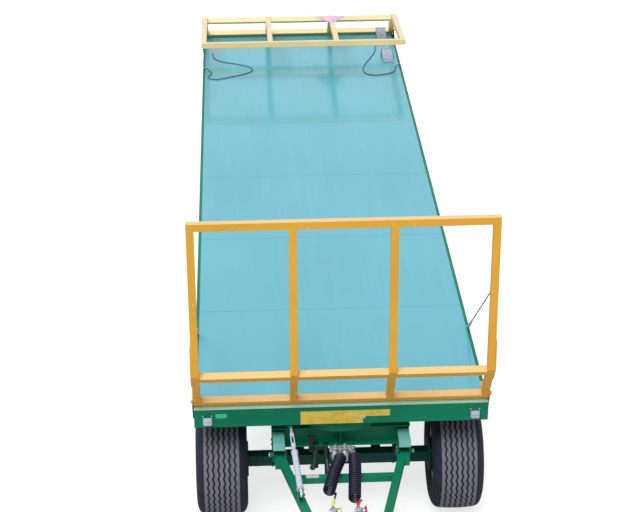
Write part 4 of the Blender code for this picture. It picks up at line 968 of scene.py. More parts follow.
@dataclass
class SlackRopes:
    """The ropes that lie slack on the floor from the rear lugs, with their hooks."""

    shelf: FinishShelf
    radius: float = 0.006
    laid_share: float = 0.9
    strands: int = 3
    lay: float = 0.045
    coarse_step: float = 0.036
    fine_step: float = 0.006
    lug_wall: float = 0.008
    routes: dict[Side, tuple[tuple[float, float], ...]] = field(
        default_factory=lambda: {
            Side.LEFT: (
                (-1.10, 7.80), (-1.14, 7.72), (-1.12, 7.635), (-1.04, 7.605),
                (-0.94, 7.645), (-0.83, 7.705), (-0.72, 7.765), (-0.637, 7.84),
                (-0.606, 7.92), (-0.65, 8.02), (-0.758, 8.10), (-0.87, 8.16),
                (-0.975, 8.22), (-1.05, 8.30), (-1.085, 8.40), (-1.095, 8.50),
            ),
            Side.RIGHT: (
                (1.13, 7.845), (1.11, 7.77), (1.05, 7.70), (0.96, 7.66), (0.86, 7.645),
                (0.79, 7.675), (0.748, 7.75), (0.738, 7.85), (0.755, 7.97), (0.80, 8.11),
                (0.86, 8.27), (0.91, 8.42), (0.94, 8.56), (0.95, 8.68),
            ),
        }
    )

    def route(self, side: Side) -> list[Vector]:
        """The rope's way from its lug to its hook.

        Args:
            side: The wagon's side.

        Returns:
            The route's points.
        """
        lie = DECK_TOP + self.radius + FIT_GAP
        face = side.value * (HALF_DECK - LUG_INSET - self.lug_wall / 2 - FIT_GAP)
        place = DECK_LENGTH - ANCHOR_PLACE
        eye = DECK_TOP + LUG_RISE
        points = [
            at(face, place, eye),
            at(face - side.value * 0.025, place - 0.004, eye - 0.001),
            at(face - side.value * 0.055, place - 0.03, lie + 0.004),
        ]
        return points + [at(across, behind, lie) for across, behind in self.routes[side]]

    def build(self) -> None:
        """Lay both ropes, each as a cord that ends at its hook."""
        for side in Side:
            path = smooth_route(self.route(side), self.coarse_step)
            fine = smooth_route(path, self.fine_step)
            radius = self.radius * self.laid_share
            rope = Shape().sweep(fine, radius, 12, self.strands, self.lay).piece(
                "laid_rope_" + side.word,
                self.shelf["rope"],
                "chassis",
                "rope_fibre",
                ["slack_rope_" + side.word],
                smooth=60,
            )
            LOG.info("rope %s, %.2f m", side.word, route_length(path))


@dataclass
class Tyre:
    """A low, wide tyre with wavy ribs and a notched shoulder."""

    shelf: FinishShelf
    word: str
    width: float = 0.435
    half_tread: float = HALF_TREAD
    ribs: int = 7
    groove: float = 0.018
    depth: float = 0.012
    waves: int = 38
    steps_a_wave: int = 8
    swing: float = 0.0055
    notch: float = 0.007
    bead_radius: float = 0.2505
    bead_half_width: float = 0.161

    def section(self, radius: float) -> list[tuple[float, float, float, float]]:
        """The tyre's outer line from one bead to the other.

        Args:
            radius: The tyre's radius at its crown.

        Returns:
            For each point its place across, its radius, its share of the ribs' wave and of the notches.
        """
        pitch = (2 * self.half_tread + self.groove) / self.ribs
        tread = []
        for rib in range(self.ribs):
            left = -self.half_tread + rib * pitch
            right = left + pitch - self.groove
            left_wave = 0.0 if rib == 0 else 1.0
            right_wave = 0.0 if rib == self.ribs - 1 else 1.0
            if rib:
                tread.append((left - 0.003, radius - self.depth, 1.0, 0.0))
            tread.append((left, self.crown(radius, left), left_wave, 0.0))
            tread.append((right, self.crown(radius, right), right_wave, 0.0))
            if rib < self.ribs - 1:
                tread.append((right + 0.003, radius - self.depth, 1.0, 0.0))
        half = self.width / 2
        side = [
            (self.half_tread + 0.003, radius - 0.017, 0.0, 0.0),
            (self.half_tread + 0.010, radius - 0.017, 0.0, 0.0),
            (self.half_tread + 0.012, radius - 0.0125, 0.0, 0.0),
            (self.half_tread + 0.030, radius - 0.021, 0.0, 1.0),
            (self.half_tread + 0.046, radius - 0.037, 0.0, 1.0),
            (half - 0.011, radius - 0.060, 0.0, 0.4),
            (half - 0.003, radius - 0.085, 0.0, 0.0),
            (half, radius - 0.118, 0.0, 0.0),
            (half - 0.004, radius - 0.150, 0.0, 0.0),
            (half - 0.016, radius - 0.175, 0.0, 0.0),
            (half - 0.034, radius - 0.196, 0.0, 0.0),
            (self.bead_half_width + 0.010, self.bead_radius + 0.016, 0.0, 0.0),
            (self.bead_half_width + 0.003, self.bead_radius + 0.006, 0.0, 0.0),
            (self.bead_half_width, self.bead_radius, 0.0, 0.0),
        ]
        mirrored = [(-x, r, w, n) for x, r, w, n in reversed(side)]
        return mirrored + tread + side

    @staticmethod
    def crown(radius: float, across: float) -> float:
        """The radius of the tread's crown at a place across."""
        return radius - CROWN_FALL * across * across

    def build(self) -> None:
        """Turn the section round the axle, with its waves and notches."""
        low, high = (Vector(corner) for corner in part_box("tyre_" + self.word))
        centre = (low + high) / 2
        radius = min(centre.z, (high.z - low.z) / 2)
        shape = Shape()
        count = self.waves * self.steps_a_wave
        section = self.section(radius)
        rings = []
        for k in range(count):
            angle = 2 * math.pi * k / count
            wave = self.swing * math.sin(angle * self.waves)
            cut = self.notch if (k // (self.steps_a_wave // 2)) % 2 else 0.0
            ring = []
            for across, reach, wave_share, notch_share in section:
                far = reach - cut * notch_share
                corner = Vector((across + wave * wave_share, far * math.cos(angle), far * math.sin(angle)))
                ring.append(shape.work.verts.new(centre + corner))
            rings.append(ring)
        for k, ring in enumerate(rings):
            other = rings[(k + 1) % count]
            for i in range(len(section)):
                n = (i + 1) % len(section)
                shape.work.faces.new((ring[i], ring[n], other[n], other[i]))
        shape.piece(
            "ribbed_tyre_" + self.word,
            self.shelf["tyre"],
            "wheel_" + self.word,
            "tyre",
            ["tyre_" + self.word],
            smooth=32,
            origin=centre,
        )
        LOG.info("tyre %s", self.word)


@dataclass
class WheelDisc:
    """A pressed wheel with its hub, nuts, brake drum and valve."""

    shelf: FinishShelf
    word: str
    side: Side
    nuts: int = 8
    nut_circle: float = 0.1025
    nut_width: float = 0.027

    def profile(self) -> list[tuple[float, float]]:
        """The wheel's section; height is towards the outside."""
        seat, well, wall = 0.2477, 0.2177, 0.007
        return [
            (0.128, 0.032),
            (0.150, 0.036),
            (0.185, 0.040),
            (0.2050, 0.046),
            (0.2260, 0.062),
            (0.2380, 0.095),
            (0.2405, 0.150),
            (0.2470, 0.1700),
            (0.2560, 0.1765),
            (0.2640, 0.1755),
            (0.2650, 0.1720),
            (0.2580, 0.1700),
            (0.2515, 0.1655),
            (seat, 0.1600),
            (seat, 0.085),
            (well, 0.055),
            (well, -0.030),
            (seat, -0.060),
            (seat, -0.1600),
            (0.2515, -0.1655),
            (0.2580, -0.1700),
            (0.2650, -0.1720),
            (0.2640, -0.1755),
            (0.2560, -0.1765),
            (0.2470, -0.1700),
            (seat - wall, -0.150),
            (seat - wall, -0.064),
            (well - wall, -0.034),
            (well - wall, 0.014),
            (0.196, 0.018),
            (0.128, 0.018),
        ]

    def build(self) -> None:
        """Turn the wheel, and stand its hub and nuts on it."""
        low, high = (Vector(corner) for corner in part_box("tyre_" + self.word))
        centre = (low + high) / 2
        out = Vector((self.side.value, 0, 0))
        body = "wheel_" + self.word
        wheel = Shape().lathe(self.profile(), centre, out, 72)
        disc = [(0.0, 0.032), (0.060, 0.032), (0.1285, 0.0325), (0.1285, 0.0175), (0.1, 0.017), (0.0, 0.017)]
        wheel.lathe(disc, centre, out, 48)
        silver = self.shelf["silver paint"]
        wheel.piece("pressed_wheel_" + self.word, silver, body, "rim_paint", ["rim_" + self.word])
        drum = [
            (0.040, 0.018),
            (0.150, 0.018),
            (0.155, 0.010),
            (0.155, -0.165),
            (0.161, -0.171),
            (0.161, -0.187),
            (0.153, -0.193),
            (0.153, -0.205),
            (0.040, -0.205),
        ]
        brake = Shape().lathe(drum, centre, out, 56)
        brake.piece("brake_drum_" + self.word, self.shelf["black paint"], body, "rim_paint")
        hub = [
            (0.0, 0.084),
            (0.020, 0.084),
            (0.034, 0.081),
            (0.040, 0.076),
            (0.041, 0.066),
            (0.047, 0.064),
            (0.050, 0.058),
            (0.052, 0.040),
            (0.066, 0.037),
            (0.068, 0.030),
            (0.0, 0.030),
        ]
        fittings = Shape().lathe(hub, centre, out, 40)
        for k in range(self.nuts):
            angle = 2 * math.pi * (k + 0.5) / self.nuts
            around = Vector((0, math.cos(angle), math.sin(angle)))
            spot = centre + out * 0.0325 + self.nut_circle * around
            fittings.hex_head(spot, out, self.nut_width, 0.018)
            fittings.rod(spot + out * 0.016, spot + out * 0.030, 0.0085, 14)
        fittings.piece("wheel_hub_" + self.word, self.shelf["zinc"], body, "rim_paint")
        stem = centre + out * 0.052 + Vector((0, 0.211, 0))
        valve = Shape().rod(stem, stem + out * 0.030 - Vector((0, 0.010, 0)), 0.005, 12, 0.004)
        valve.piece("tyre_valve_" + self.word, self.shelf["black rubber"], body, "tyre")
        LOG.info("wheel %s", self.word)


@dataclass
class CoiledHose:
    """One coiled brake hose, from its fitting on the bogie to its parked coupling head."""

    shelf: FinishShelf
    colour: str
    cap: str
    head_across: float
    coil_route: tuple[Point, ...]
    union_across: float
    hose_radius: float = 0.0080
    coil_radius: float = 0.052
    pitch: float = 0.027
    steps_a_turn: int = 20
    end_angle: float = 2.6
    lead_in: float = 0.085
    union_place: float = -0.012
    union_height: float = 0.787
    head_height: float = 0.872
    head_face: float = -0.874
    route_step: float = 0.006
    sleeve_points: int = 19
    sleeve_wall: float = 0.0022

    def middle_line(self) -> list[Vector]:
        """Evenly spaced places along the coil's middle."""
        points = [at(*point) for point in self.coil_route]
        return smooth_route(points, self.pitch / self.steps_a_turn)

    def build(self) -> None:
        """Wind the coil, lead its end to the head, and dress the head."""
        line = self.middle_line()
        line = line[round(self.lead_in / self.pitch * self.steps_a_turn):]
        frames = steady_frames(line)
        reach = self.coil_radius - self.hose_radius
        coil = []
        for i, (point, (across, above)) in enumerate(zip(line, frames)):
            angle = 2 * math.pi * (i - len(line)) / self.steps_a_turn + self.end_angle
            coil.append(point + reach * (math.cos(angle) * across + math.sin(angle) * above))
        union = at(self.union_across, self.union_place, self.union_height)
        way_in = (coil[1] - coil[0]).normalized()
        first = [union, union + Vector((0, -0.025, 0)), coil[0] - way_in * 0.03, coil[0]]
        route = smooth_route(first, self.route_step)[:-1] + coil
        last = route[-1]
        face = at(self.head_across, self.head_face, self.head_height)
        heading = (route[-1] - route[-2]).normalized()
        lead = [
            last,
            last + heading * 0.030,
            (last + heading * 0.045).lerp(face + Vector((0, 0.055, 0)), 0.6),
            face + Vector((0, 0.022, 0)),
            face,
        ]
        route += smooth_route(lead, self.route_step)[1:]
        hose = Shape().sweep(route, self.hose_radius, 8).piece(
            "hose_" + self.colour,
            self.shelf["hose"],
            "drawbar",
            "hose_plastic",
            ["coiled_hose_" + self.colour],
            smooth=60,
        )
        sleeve = Shape().sweep(route[-self.sleeve_points:], self.hose_radius + self.sleeve_wall, 14)
        cap = self.shelf[self.cap]
        head = self.build_head() + [
            sleeve.piece("hose_lead_" + self.colour, cap, "drawbar", "hose_plastic", smooth=60)
        ]
        LOG.info("coiled hose %s, %.2f m", self.colour, route_length(route))

    def build_head(self) -> list[bpy.types.Object]:
        """The coupling head with its sleeve and coloured cap.

        Returns:
            The pieces of the head.
        """
        x, z = self.head_across, self.head_height
        face = at(x, self.head_face, z)
        back = Vector((0, -1, 0))
        sleeve = [
            (0.006, 0.070),
            (0.0085, 0.066),
            (0.0105, 0.030),
            (0.012, 0.0),
            (0.012, -0.002),
            (0.0056, -0.002),
        ]
        grip = Shape().lathe(sleeve, face, (0, 1, 0), 20)
        for k in range(7):
            grip.ring(face + Vector((0, 0.008 + k * 0.008, 0)), (0, 1, 0), 0.0112 - k * 0.0003, 0.0016, 20)
        body = Shape()
        barrel = [
            (0.0, 0.0),
            (0.013, 0.0),
            (0.016, 0.004),
            (0.016, 0.030),
            (0.026, 0.038),
            (0.028, 0.045),
            (0.028, 0.075),
            (0.022, 0.084),
            (0.020, 0.100),
            (0.0, 0.100),
        ]
        body.lathe(barrel, face, back, 28)
        middle = face + back * 0.058
        chamber = [
            (0.0, -0.034),
            (0.018, -0.034),
            (0.020, -0.030),
            (0.020, 0.030),
            (0.026, 0.033),
            (0.028, 0.038),
            (0.028, 0.046),
            (0.0, 0.046),
        ]
        body.lathe(chamber, middle, (1, 0, 0), 28)
        body.box(middle + Vector((-0.010, -0.018, 0.018)), middle + Vector((0.030, 0.014, 0.027)))
        body.hex_head(middle + Vector((-0.020, 0.002, 0.018)), (0, 0, 1), 0.016, 0.010)
        body.hex_head(face + back * 0.012 + Vector((0, 0, 0.013)), (0, 0, 1), 0.012, 0.008)
        cap = Shape()
        dome = [
            (0.0, 0.0),
            (0.027, 0.0),
            (0.030, 0.003),
            (0.030, 0.013),
            (0.026, 0.018),
            (0.012, 0.021),
            (0.0, 0.021),
        ]
        cap.lathe(dome, middle + Vector((0.0465, 0, 0)), (1, 0, 0), 32)
        cap.box(middle + Vector((0.047, -0.012, 0.024)), middle + Vector((0.061, 0.012, 0.043)))
        bright = self.shelf[self.cap]
        return [
            grip.piece("hose_sleeve_" + self.colour, bright, "drawbar", "hose_plastic"),
            body.piece(
                "head_body_" + self.colour,
                self.shelf["cast"],
                "drawbar",
                "cast_metal",
                ["coupling_head_" + self.colour],
                bevel=0.001,
            ),
            cap.piece("head_cap_" + self.colour, bright, "drawbar", "hose_plastic", bevel=0.0012),
        ]


@dataclass
class FrontStay:
    """The taut stay from an outer post of the front frame to the platform's edge."""

    shelf: FinishShelf
    side: Side
    top_inset: float = 0.04
    top_place: float = -0.174
    top_height: float = 1.13
    fittings_length: float = 0.235
    eye_radius: float = 0.017
    rope_radius: float = 0.0052
    strands: int = 3
    lay: float = 0.04

    def build(self) -> None:
        """Model the rope, its two rings, and the turnbuckle with its end rod."""
        sign = self.side.value
        top = at(sign * (HALF_DECK - self.top_inset), self.top_place, DECK_TOP + self.top_height)
        foot = at(sign * (HALF_DECK - LUG_INSET), ANCHOR_PLACE, DECK_TOP + LUG_RISE)
        along = (foot - top).normalized()
        across = along.cross(Vector((1, 0, 0))).normalized()
        rope_end = foot - along * self.fittings_length
        eye_top = top + along * self.eye_radius
        eye_foot = foot - along * self.eye_radius
        route = [top.lerp(rope_end, k / 160) for k in range(4, 161)]
        word = self.side.word
        rope = Shape().sweep(route, self.rope_radius, 10, self.strands, self.lay)
        rope.piece("stay_rope_" + word, self.shelf["rope"], "chassis", "rope_fibre", smooth=60)
        metal = Shape().ring(eye_top, across, self.eye_radius, 0.004)
        metal.ring(eye_foot, across, self.eye_radius, 0.004)
        metal.rod(top + along * 0.036, top + along * 0.085, 0.0085, 16)
        metal.rod(rope_end - along * 0.040, rope_end + along * 0.012, 0.0085, 16)
        frame_low, frame_high = rope_end + along * 0.012, foot - along * 0.052
        turnbuckle = [
            (0.0, 0.0),
            (0.009, 0.0),
            (0.0125, 0.008),
            (0.0125, 0.120),
            (0.0125, 0.150),
            (0.009, 0.168),
            (0.0, 0.168),
        ]
        metal.lathe(turnbuckle, frame_low, along, 20)
        metal.rod(frame_high - along * 0.012, eye_foot - along * 0.014, 0.0055, 14)
        metal.hex_head(frame_low + across * 0.012, across, 0.010, 0.006)
        zinc = self.shelf["zinc"]
        metal.piece("stay_fittings_" + word, zinc, "chassis", "galvanised", ["front_stay_" + word])
        LOG.info("stay %s", word)


@dataclass
class FrontBeamFittings:
    """The marker lamps, blank labels and fixings on the front beam's face."""

    shelf: FinishShelf
    label_wall: float = 0.0012

    def label(
        self,
        name: str,
        finish: str,
        low_x: float,
        high_x: float,
        low_z: float,
        high_z: float,
        lift: float = 0.0,
    ) -> None:
        """Stick a blank label on the beam.

        Args:
            name: The piece's name.
            finish: Its finish.
            low_x: Its left edge.
            high_x: Its right edge.
            low_z: Its lower edge.
            high_z: Its upper edge.
            lift: How far it stands off the beam.
        """
        face = FRONT_EDGE - lift
        shape = Shape()
        shape.box((low_x, face - self.label_wall, low_z), (high_x, face + 0.0004, high_z))
        shape.piece(name, self.shelf[finish], "chassis", "sign_plastic", bevel=0.0004)

    def lamp(self, side: Side) -> None:
        """A marker lamp: housing, ribbed lens, screws and the bracket over it.

        Args:
            side: The wagon's side.
        """
        low, high = (Vector(corner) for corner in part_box("front_lamp_" + side.word))
        x = (low.x + high.x) / 2
        back, front = high.y, low.y
        z = low.z + 0.033
        bracket = Shape().box((x - 0.045, back - 0.004, z + 0.030), (x + 0.045, back, z + 0.052))
        bracket.box((x - 0.043, back - 0.016, z + 0.0345), (x + 0.043, back - 0.003, z + 0.038))
        bracket.piece(
            "lamp_bracket_" + side.word,
            self.shelf["body green"],
            "chassis",
            "green_paint",
            ["front_lamp_" + side.word],
            bevel=0.001,
        )
        housing = Shape().box((x - 0.037, back - 0.020, z - 0.033), (x + 0.037, back, z + 0.033))
        grey, clear = self.shelf["lamp grey"], self.shelf["clear lens"]
        housing.piece("lamp_housing_" + side.word, grey, "chassis", "lamp_plastic", bevel=0.003)
        lens = Shape()
        for lower, upper in ((-0.028, -0.003), (0.001, 0.028)):
            lens.box((x - 0.032, front, z + lower), (x + 0.032, back - 0.019, z + upper))
        lens.piece("lamp_lens_" + side.word, clear, "chassis", "lamp_plastic", bevel=0.003)
        bead = Shape()
        for k in range(-3, 4):
            for lower, upper in ((-0.024, -0.007), (0.005, 0.024)):
                spot = x + k * 0.008
                bead.rod((spot, front + 0.0006, z + lower), (spot, front + 0.0006, z + upper), 0.0014, 8)
        bead.box((x - 0.012, front - 0.0004, z - 0.004), (x + 0.012, back - 0.019, z + 0.002))
        bead.piece("lamp_ribs_" + side.word, clear, "chassis", "lamp_plastic")
        bolts = Shape()
        for across in (-0.036, 0.036):
            bolts.hex_head((x + across, back - 0.004, z + 0.044), (0, -1, 0), 0.010, 0.005)
        bolts.piece("lamp_bolts_" + side.word, self.shelf["zinc"], "chassis", "galvanised")

    def build(self) -> None:
        """Dress the beam's face."""
        self.label("label_wide", "label yellow", -0.338, 0.176, 1.105, 1.226)
        self.label("label_strip", "label yellow", 0.1775, 0.398, 1.168, 1.226)
        self.label("label_tag", "white label", 0.150, 0.196, 1.150, 1.172, 0.0006)
        self.label("label_green", "label green", -1.034, -0.944, 1.185, 1.226)
        for side in Side:
            self.lamp(side)
        LOG.info("front beam fittings")


@dataclass
class BrakeFittings:
    """The filters, unions and their bracket at the bogie's front, where the coiled hoses start."""

    shelf: FinishShelf
    place: float = 0.09
    height: float = 0.775

    def build(self) -> None:
        """Dress the valve group."""
        y, z = FRONT_EDGE + self.place, self.height
        cast = Shape()
        for x, reach in ((-0.055, 0.026), (0.03, 0.032)):
            front = y - (0.045 if x < 0 else 0.05)
            profile = [(0.0, -0.060), (reach * 0.7, -0.060), (reach, -0.050), (reach, -0.020)]
            for k in range(4):
                rib, rise = reach + 0.003, k * 0.012
                profile += [(rib, -0.018 + rise), (rib, -0.013 + rise), (reach, -0.011 + rise)]
            profile += [(reach, 0.032), (reach * 0.6, 0.038), (reach * 0.4, 0.044), (0.0, 0.044)]
            cast.lathe(profile, (x, front, z), (0, 0, 1), 28)
            cast.hex_head((x, front, z + 0.040), (0, 0, 1), 0.022, 0.014)
            cast.hex_head((x, front - reach, z - 0.005), (0, -1, 0), 0.020, 0.014)
        cast.box((-0.085, y - 0.045, z - 0.030), (0.062, y + 0.001, z + 0.005))
        for x in (-0.012, 0.095):
            cast.rod((x, y - 0.098, z + 0.012), (x, y - 0.001, z + 0.012), 0.011, 16)
            for k, width in enumerate((0.030, 0.026, 0.024)):
                centre = (x, y - 0.028 - k * 0.024, z + 0.012)
                cast.hex_head(centre, (0, -1, 0), width, 0.013)
        # Each elbow union: place across, rise over the group's height, width over its flats
        for x, rise, width in (
            (-0.085, 0.055, 0.024),
            (-0.050, 0.072, 0.030),
            (-0.010, 0.062, 0.026),
            (0.030, 0.078, 0.030),
            (0.075, 0.060, 0.026),
        ):
            cast.rod((x, y - 0.030, z + rise - 0.030), (x, y - 0.030, z + rise + 0.016), width * 0.42, 16)
            cast.hex_head((x, y - 0.030, z + rise - 0.006), (0, 0, 1), width, 0.014)
            cast.rod((x, y - 0.030, z + rise - 0.012), (x, y - 0.068, z + rise - 0.012), width * 0.36, 16)
            cast.hex_head((x, y - 0.052, z + rise - 0.012), (0, -1, 0), width * 0.9, 0.013)
        cast.rod((-0.095, y - 0.030, z + 0.046), (0.105, y - 0.030, z + 0.046), 0.011, 16)
        cast.piece("brake_filters", self.shelf["cast"], "bogie", "cast_metal", ["brake_valve"], bevel=0.0008)
        plate = Shape().box((-0.09, y - 0.004, z - 0.07), (0.12, y + 0.004, CHANNEL_BOTTOM - FIT_GAP))
        for x in (-0.075, 0.105):
            plate.hex_head((x, y - 0.004, z + 0.030), (0, -1, 0), 0.014, 0.009)
        plate.piece("brake_bracket", self.shelf["body green"], "bogie", "green_paint", bevel=0.001)
        for colour, x in (("red", 0.095), ("yellow", -0.012)):
            ring = Shape().ring((x, y - 0.088, z + 0.012), (0, 1, 0), 0.0125, 0.0045)
            ring.piece("ring_" + colour, self.shelf["cap " + colour], "bogie", "hose_plastic")
        LOG.info("brake fittings")


@dataclass
class LeafSpring:
    """A spring of five separate leaves with rolled eyes and bolted clips."""

    shelf: FinishShelf
    word: str
    body: str
    half_length: float = 0.33
    camber: float = 0.08
    leaves: int = 5
    pitch: float = 0.011
    leaf: float = 0.0098
    shortening: float = 0.18
    eye_outer: float = 0.024
    eye_inner: float = 0.0125
    eye_inset: float = 0.012
    clip_place: float = 0.15
    clip_wall: float = 0.006
    steps: int = 16

    def build(self) -> None:
        """Bend the leaves and fit what holds them together."""
        low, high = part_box("leaf_spring_" + self.word)
        middle = (low.y + high.y) / 2
        eye_height = high.z - self.eye_outer
        radius = (self.half_length**2 + self.camber**2) / (2 * self.camber)
        shape = Shape()
        for layer in range(self.leaves):
            half = self.half_length * (1 - self.shortening * layer) - (self.eye_inset if layer == 0 else 0.0)
            upper = radius + (layer - 0.5) * self.pitch
            previous = None
            for i in range(self.steps + 1):
                angle = math.asin(half * (2 * i / self.steps - 1) / radius)
                taper = 0.006 if layer and i in (0, self.steps) else 0.0
                corners = []
                for x, depth in (
                    (low.x + taper, upper),
                    (high.x - taper, upper),
                    (high.x - taper, upper + self.leaf),
                    (low.x + taper, upper + self.leaf),
                ):
                    y = middle + depth * math.sin(angle)
                    z = eye_height - self.camber + radius - depth * math.cos(angle)
                    corners.append(shape.work.verts.new((x, y, z)))
                if previous:
                    shape.bridge(previous, corners)
                else:
                    shape.work.faces.new(corners[::-1])
                previous = corners
            shape.work.faces.new(previous)
        for end in (-1, 1):
            eye = (low.x, middle + end * self.half_length, eye_height)
            width = high.x - low.x
            inner, outer = self.eye_inner, self.eye_outer
            ring = [(inner, 0.0), (outer, 0.0), (outer, width), (inner, width)]
            shape.lathe(ring, eye, (1, 0, 0), 32)
            angle = math.asin(end * self.clip_place / radius)
            depth = radius - 0.5 * self.pitch
            clip_y = middle + depth * math.sin(angle)
            clip_top = eye_height - self.camber + radius - depth * math.cos(angle)
            clip_low = clip_top - self.pitch * (self.leaves - 1) - 0.004
            near, far, lid = clip_y - 0.015, clip_y + 0.015, clip_top + 0.010
            shape.box((low.x - self.clip_wall, near, clip_low), (low.x - 0.0002, far, lid))
            shape.box((high.x + 0.0002, near, clip_low), (high.x + self.clip_wall, far, lid))
            bolt = clip_top + 0.005
            shape.rod((low.x - 0.008, clip_y, bolt), (high.x + 0.008, clip_y, bolt), 0.0045, 12)
            shape.hex_head((high.x + self.clip_wall, clip_y, bolt), (1, 0, 0), 0.013, 0.007)
            shape.hex_head((low.x - self.clip_wall, clip_y, bolt), (-1, 0, 0), 0.013, 0.007)
        shape.piece(
            "leaf_pack_" + self.word,
            self.shelf["black paint"],
            self.body,
            "black_paint",
            ["leaf_spring_" + self.word],
            bevel=0.001,
        )
        LOG.info("spring %s", self.word)


@dataclass
class AxleFittings:
    """The nuts on one axle's spring clamps, and the bands and fittings of its brake chambers."""

    shelf: FinishShelf
    end: str
    place: float
    body: str
    bolt_across: float = 0.044
    bolt_along: float = 0.038
    clamp_wall: float = 0.014
    half_axle: float = 0.0502
    chamber_across: float = 0.33
    chamber_behind: float = 0.20
    chamber_rise: float = 0.06

    def build(self) -> None:
        """Fit the nuts over and under the clamps, and the chambers' bands, screws and unions."""
        y = FRONT_EDGE + self.place
        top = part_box(self.end + "_axle")[1].z - self.clamp_wall
        axle_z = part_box("tyre_" + self.end + "_left")[1].z / 2
        nuts = Shape()
        bands = Shape()
        for side in Side:
            for across in (-1, 1):
                for along in (-1, 1):
                    x = side.value * SPRING_SPREAD + across * self.bolt_across
                    spot = Vector((x, y + along * self.bolt_along, top))
                    nuts.hex_head(spot, (0, 0, 1), 0.021, 0.012)
                    bottom = Vector((spot.x, spot.y, axle_z - self.half_axle))
                    nuts.hex_head(bottom, (0, 0, -1), 0.021, 0.012)
            centre = Vector(
                (side.value * self.chamber_across, y + self.chamber_behind, axle_z + self.chamber_rise)
            )
            band = [(0.064, -0.006), (0.071, -0.006), (0.071, 0.006), (0.064, 0.006)]
            bands.lathe(band, centre, (0, 1, 0), 40)
            bands.rod(centre + Vector((-0.016, 0, 0.078)), centre + Vector((0.016, 0, 0.078)), 0.005, 12)
            bands.box(centre + Vector((-0.013, -0.008, 0.066)), centre + Vector((-0.007, 0.008, 0.088)))
            bands.box(centre + Vector((0.007, -0.008, 0.066)), centre + Vector((0.013, 0.008, 0.088)))
            bands.rod(centre + Vector((0, 0.069, 0)), centre + Vector((0, 0.090, 0)), 0.016, 16)
            bands.hex_head(centre + Vector((0.03, 0.069, 0.03)), (0, 1, 0), 0.018, 0.02)
        nuts.piece("clamp_nuts_" + self.end, self.shelf["zinc"], self.body, "green_paint")
        bands.piece("chamber_bands_" + self.end, self.shelf["black paint"], self.body, "green_paint")
        LOG.info("axle %s", self.end)


@dataclass
class HingeFittings:
    """Washers, pin ends and spring clips at one end frame's pins."""

    shelf: FinishShelf
    end: str
    place: float
    body: str
    ear_face: float = 1.223

    def build(self) -> None:
        """Fit one set on each side."""
        shape = Shape()
        y, z = FRONT_EDGE + self.place, DECK_TOP + FRAME_RISE
        for side in Side:
            out = Vector((side.value, 0, 0))
            face = Vector((side.value * (self.ear_face + FIT_GAP), y, z))
            washer = [(0.0125, 0.0), (0.022, 0.0), (0.022, 0.0025), (0.0125, 0.0025)]
            shape.lathe(washer, face, out, 24)
            shape.rod(face + out * 0.001, face + out * 0.0155, 0.0118, 20, 0.0105)
            shape.ring(face + out * 0.008, (0, 0.4, 1), 0.0145, 0.0016, 24)
        shape.piece("pin_clips_" + self.end, self.shelf["zinc"], self.body, "yellow_paint")
        LOG.info("hinge fittings %s", self.end)


@dataclass
class PivotFittings:
    """Cotters and bolt heads on the drawbar's pins, and bolts on the tow eye's flange."""

    shelf: FinishShelf
    pin_end: float = 0.071
    flange_wall: float = 0.0195
    bolt_across: float = 0.034
    bolt_rise: float = 0.029

    def build(self) -> None:
        """Fit the bogie's and the drawbar's small metal."""
        cotters = Shape()
        for side in Side:
            inner = at(side.value * (PIVOT_SPREAD - self.pin_end + 0.010), PIVOT_PLACE, PIVOT_HEIGHT)
            route = [inner + Vector((0, 0.006 * math.sin(t / 3), 0.034 - t * 0.0075)) for t in range(10)]
            cotters.sweep(smooth_route(route, 0.004), 0.0028, 8)
            cotters.ring(inner + Vector((0, 0, 0.040)), (1, 0, 0), 0.0075, 0.0025, 16)
            face = at(side.value * (PIVOT_SPREAD + self.pin_end + 0.004), PIVOT_PLACE, PIVOT_HEIGHT)
            cotters.hex_head(face, (side.value, 0, 0), 0.026, 0.010)
        cotters.piece("pivot_cotters", self.shelf["pale zinc"], "bogie", "green_paint")
        bolts = Shape()
        flange_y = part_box("tow_eye")[1].y - self.flange_wall
        for across in (-self.bolt_across, self.bolt_across):
            for rise in (-self.bolt_rise, self.bolt_rise):
                bolts.hex_head((across, flange_y, PIVOT_HEIGHT + rise), (0, -1, 0), 0.018, 0.012)
        bolts.piece("tow_eye_bolts", self.shelf["zinc"], "drawbar", "green_paint")
        LOG.info("pivot fittings")


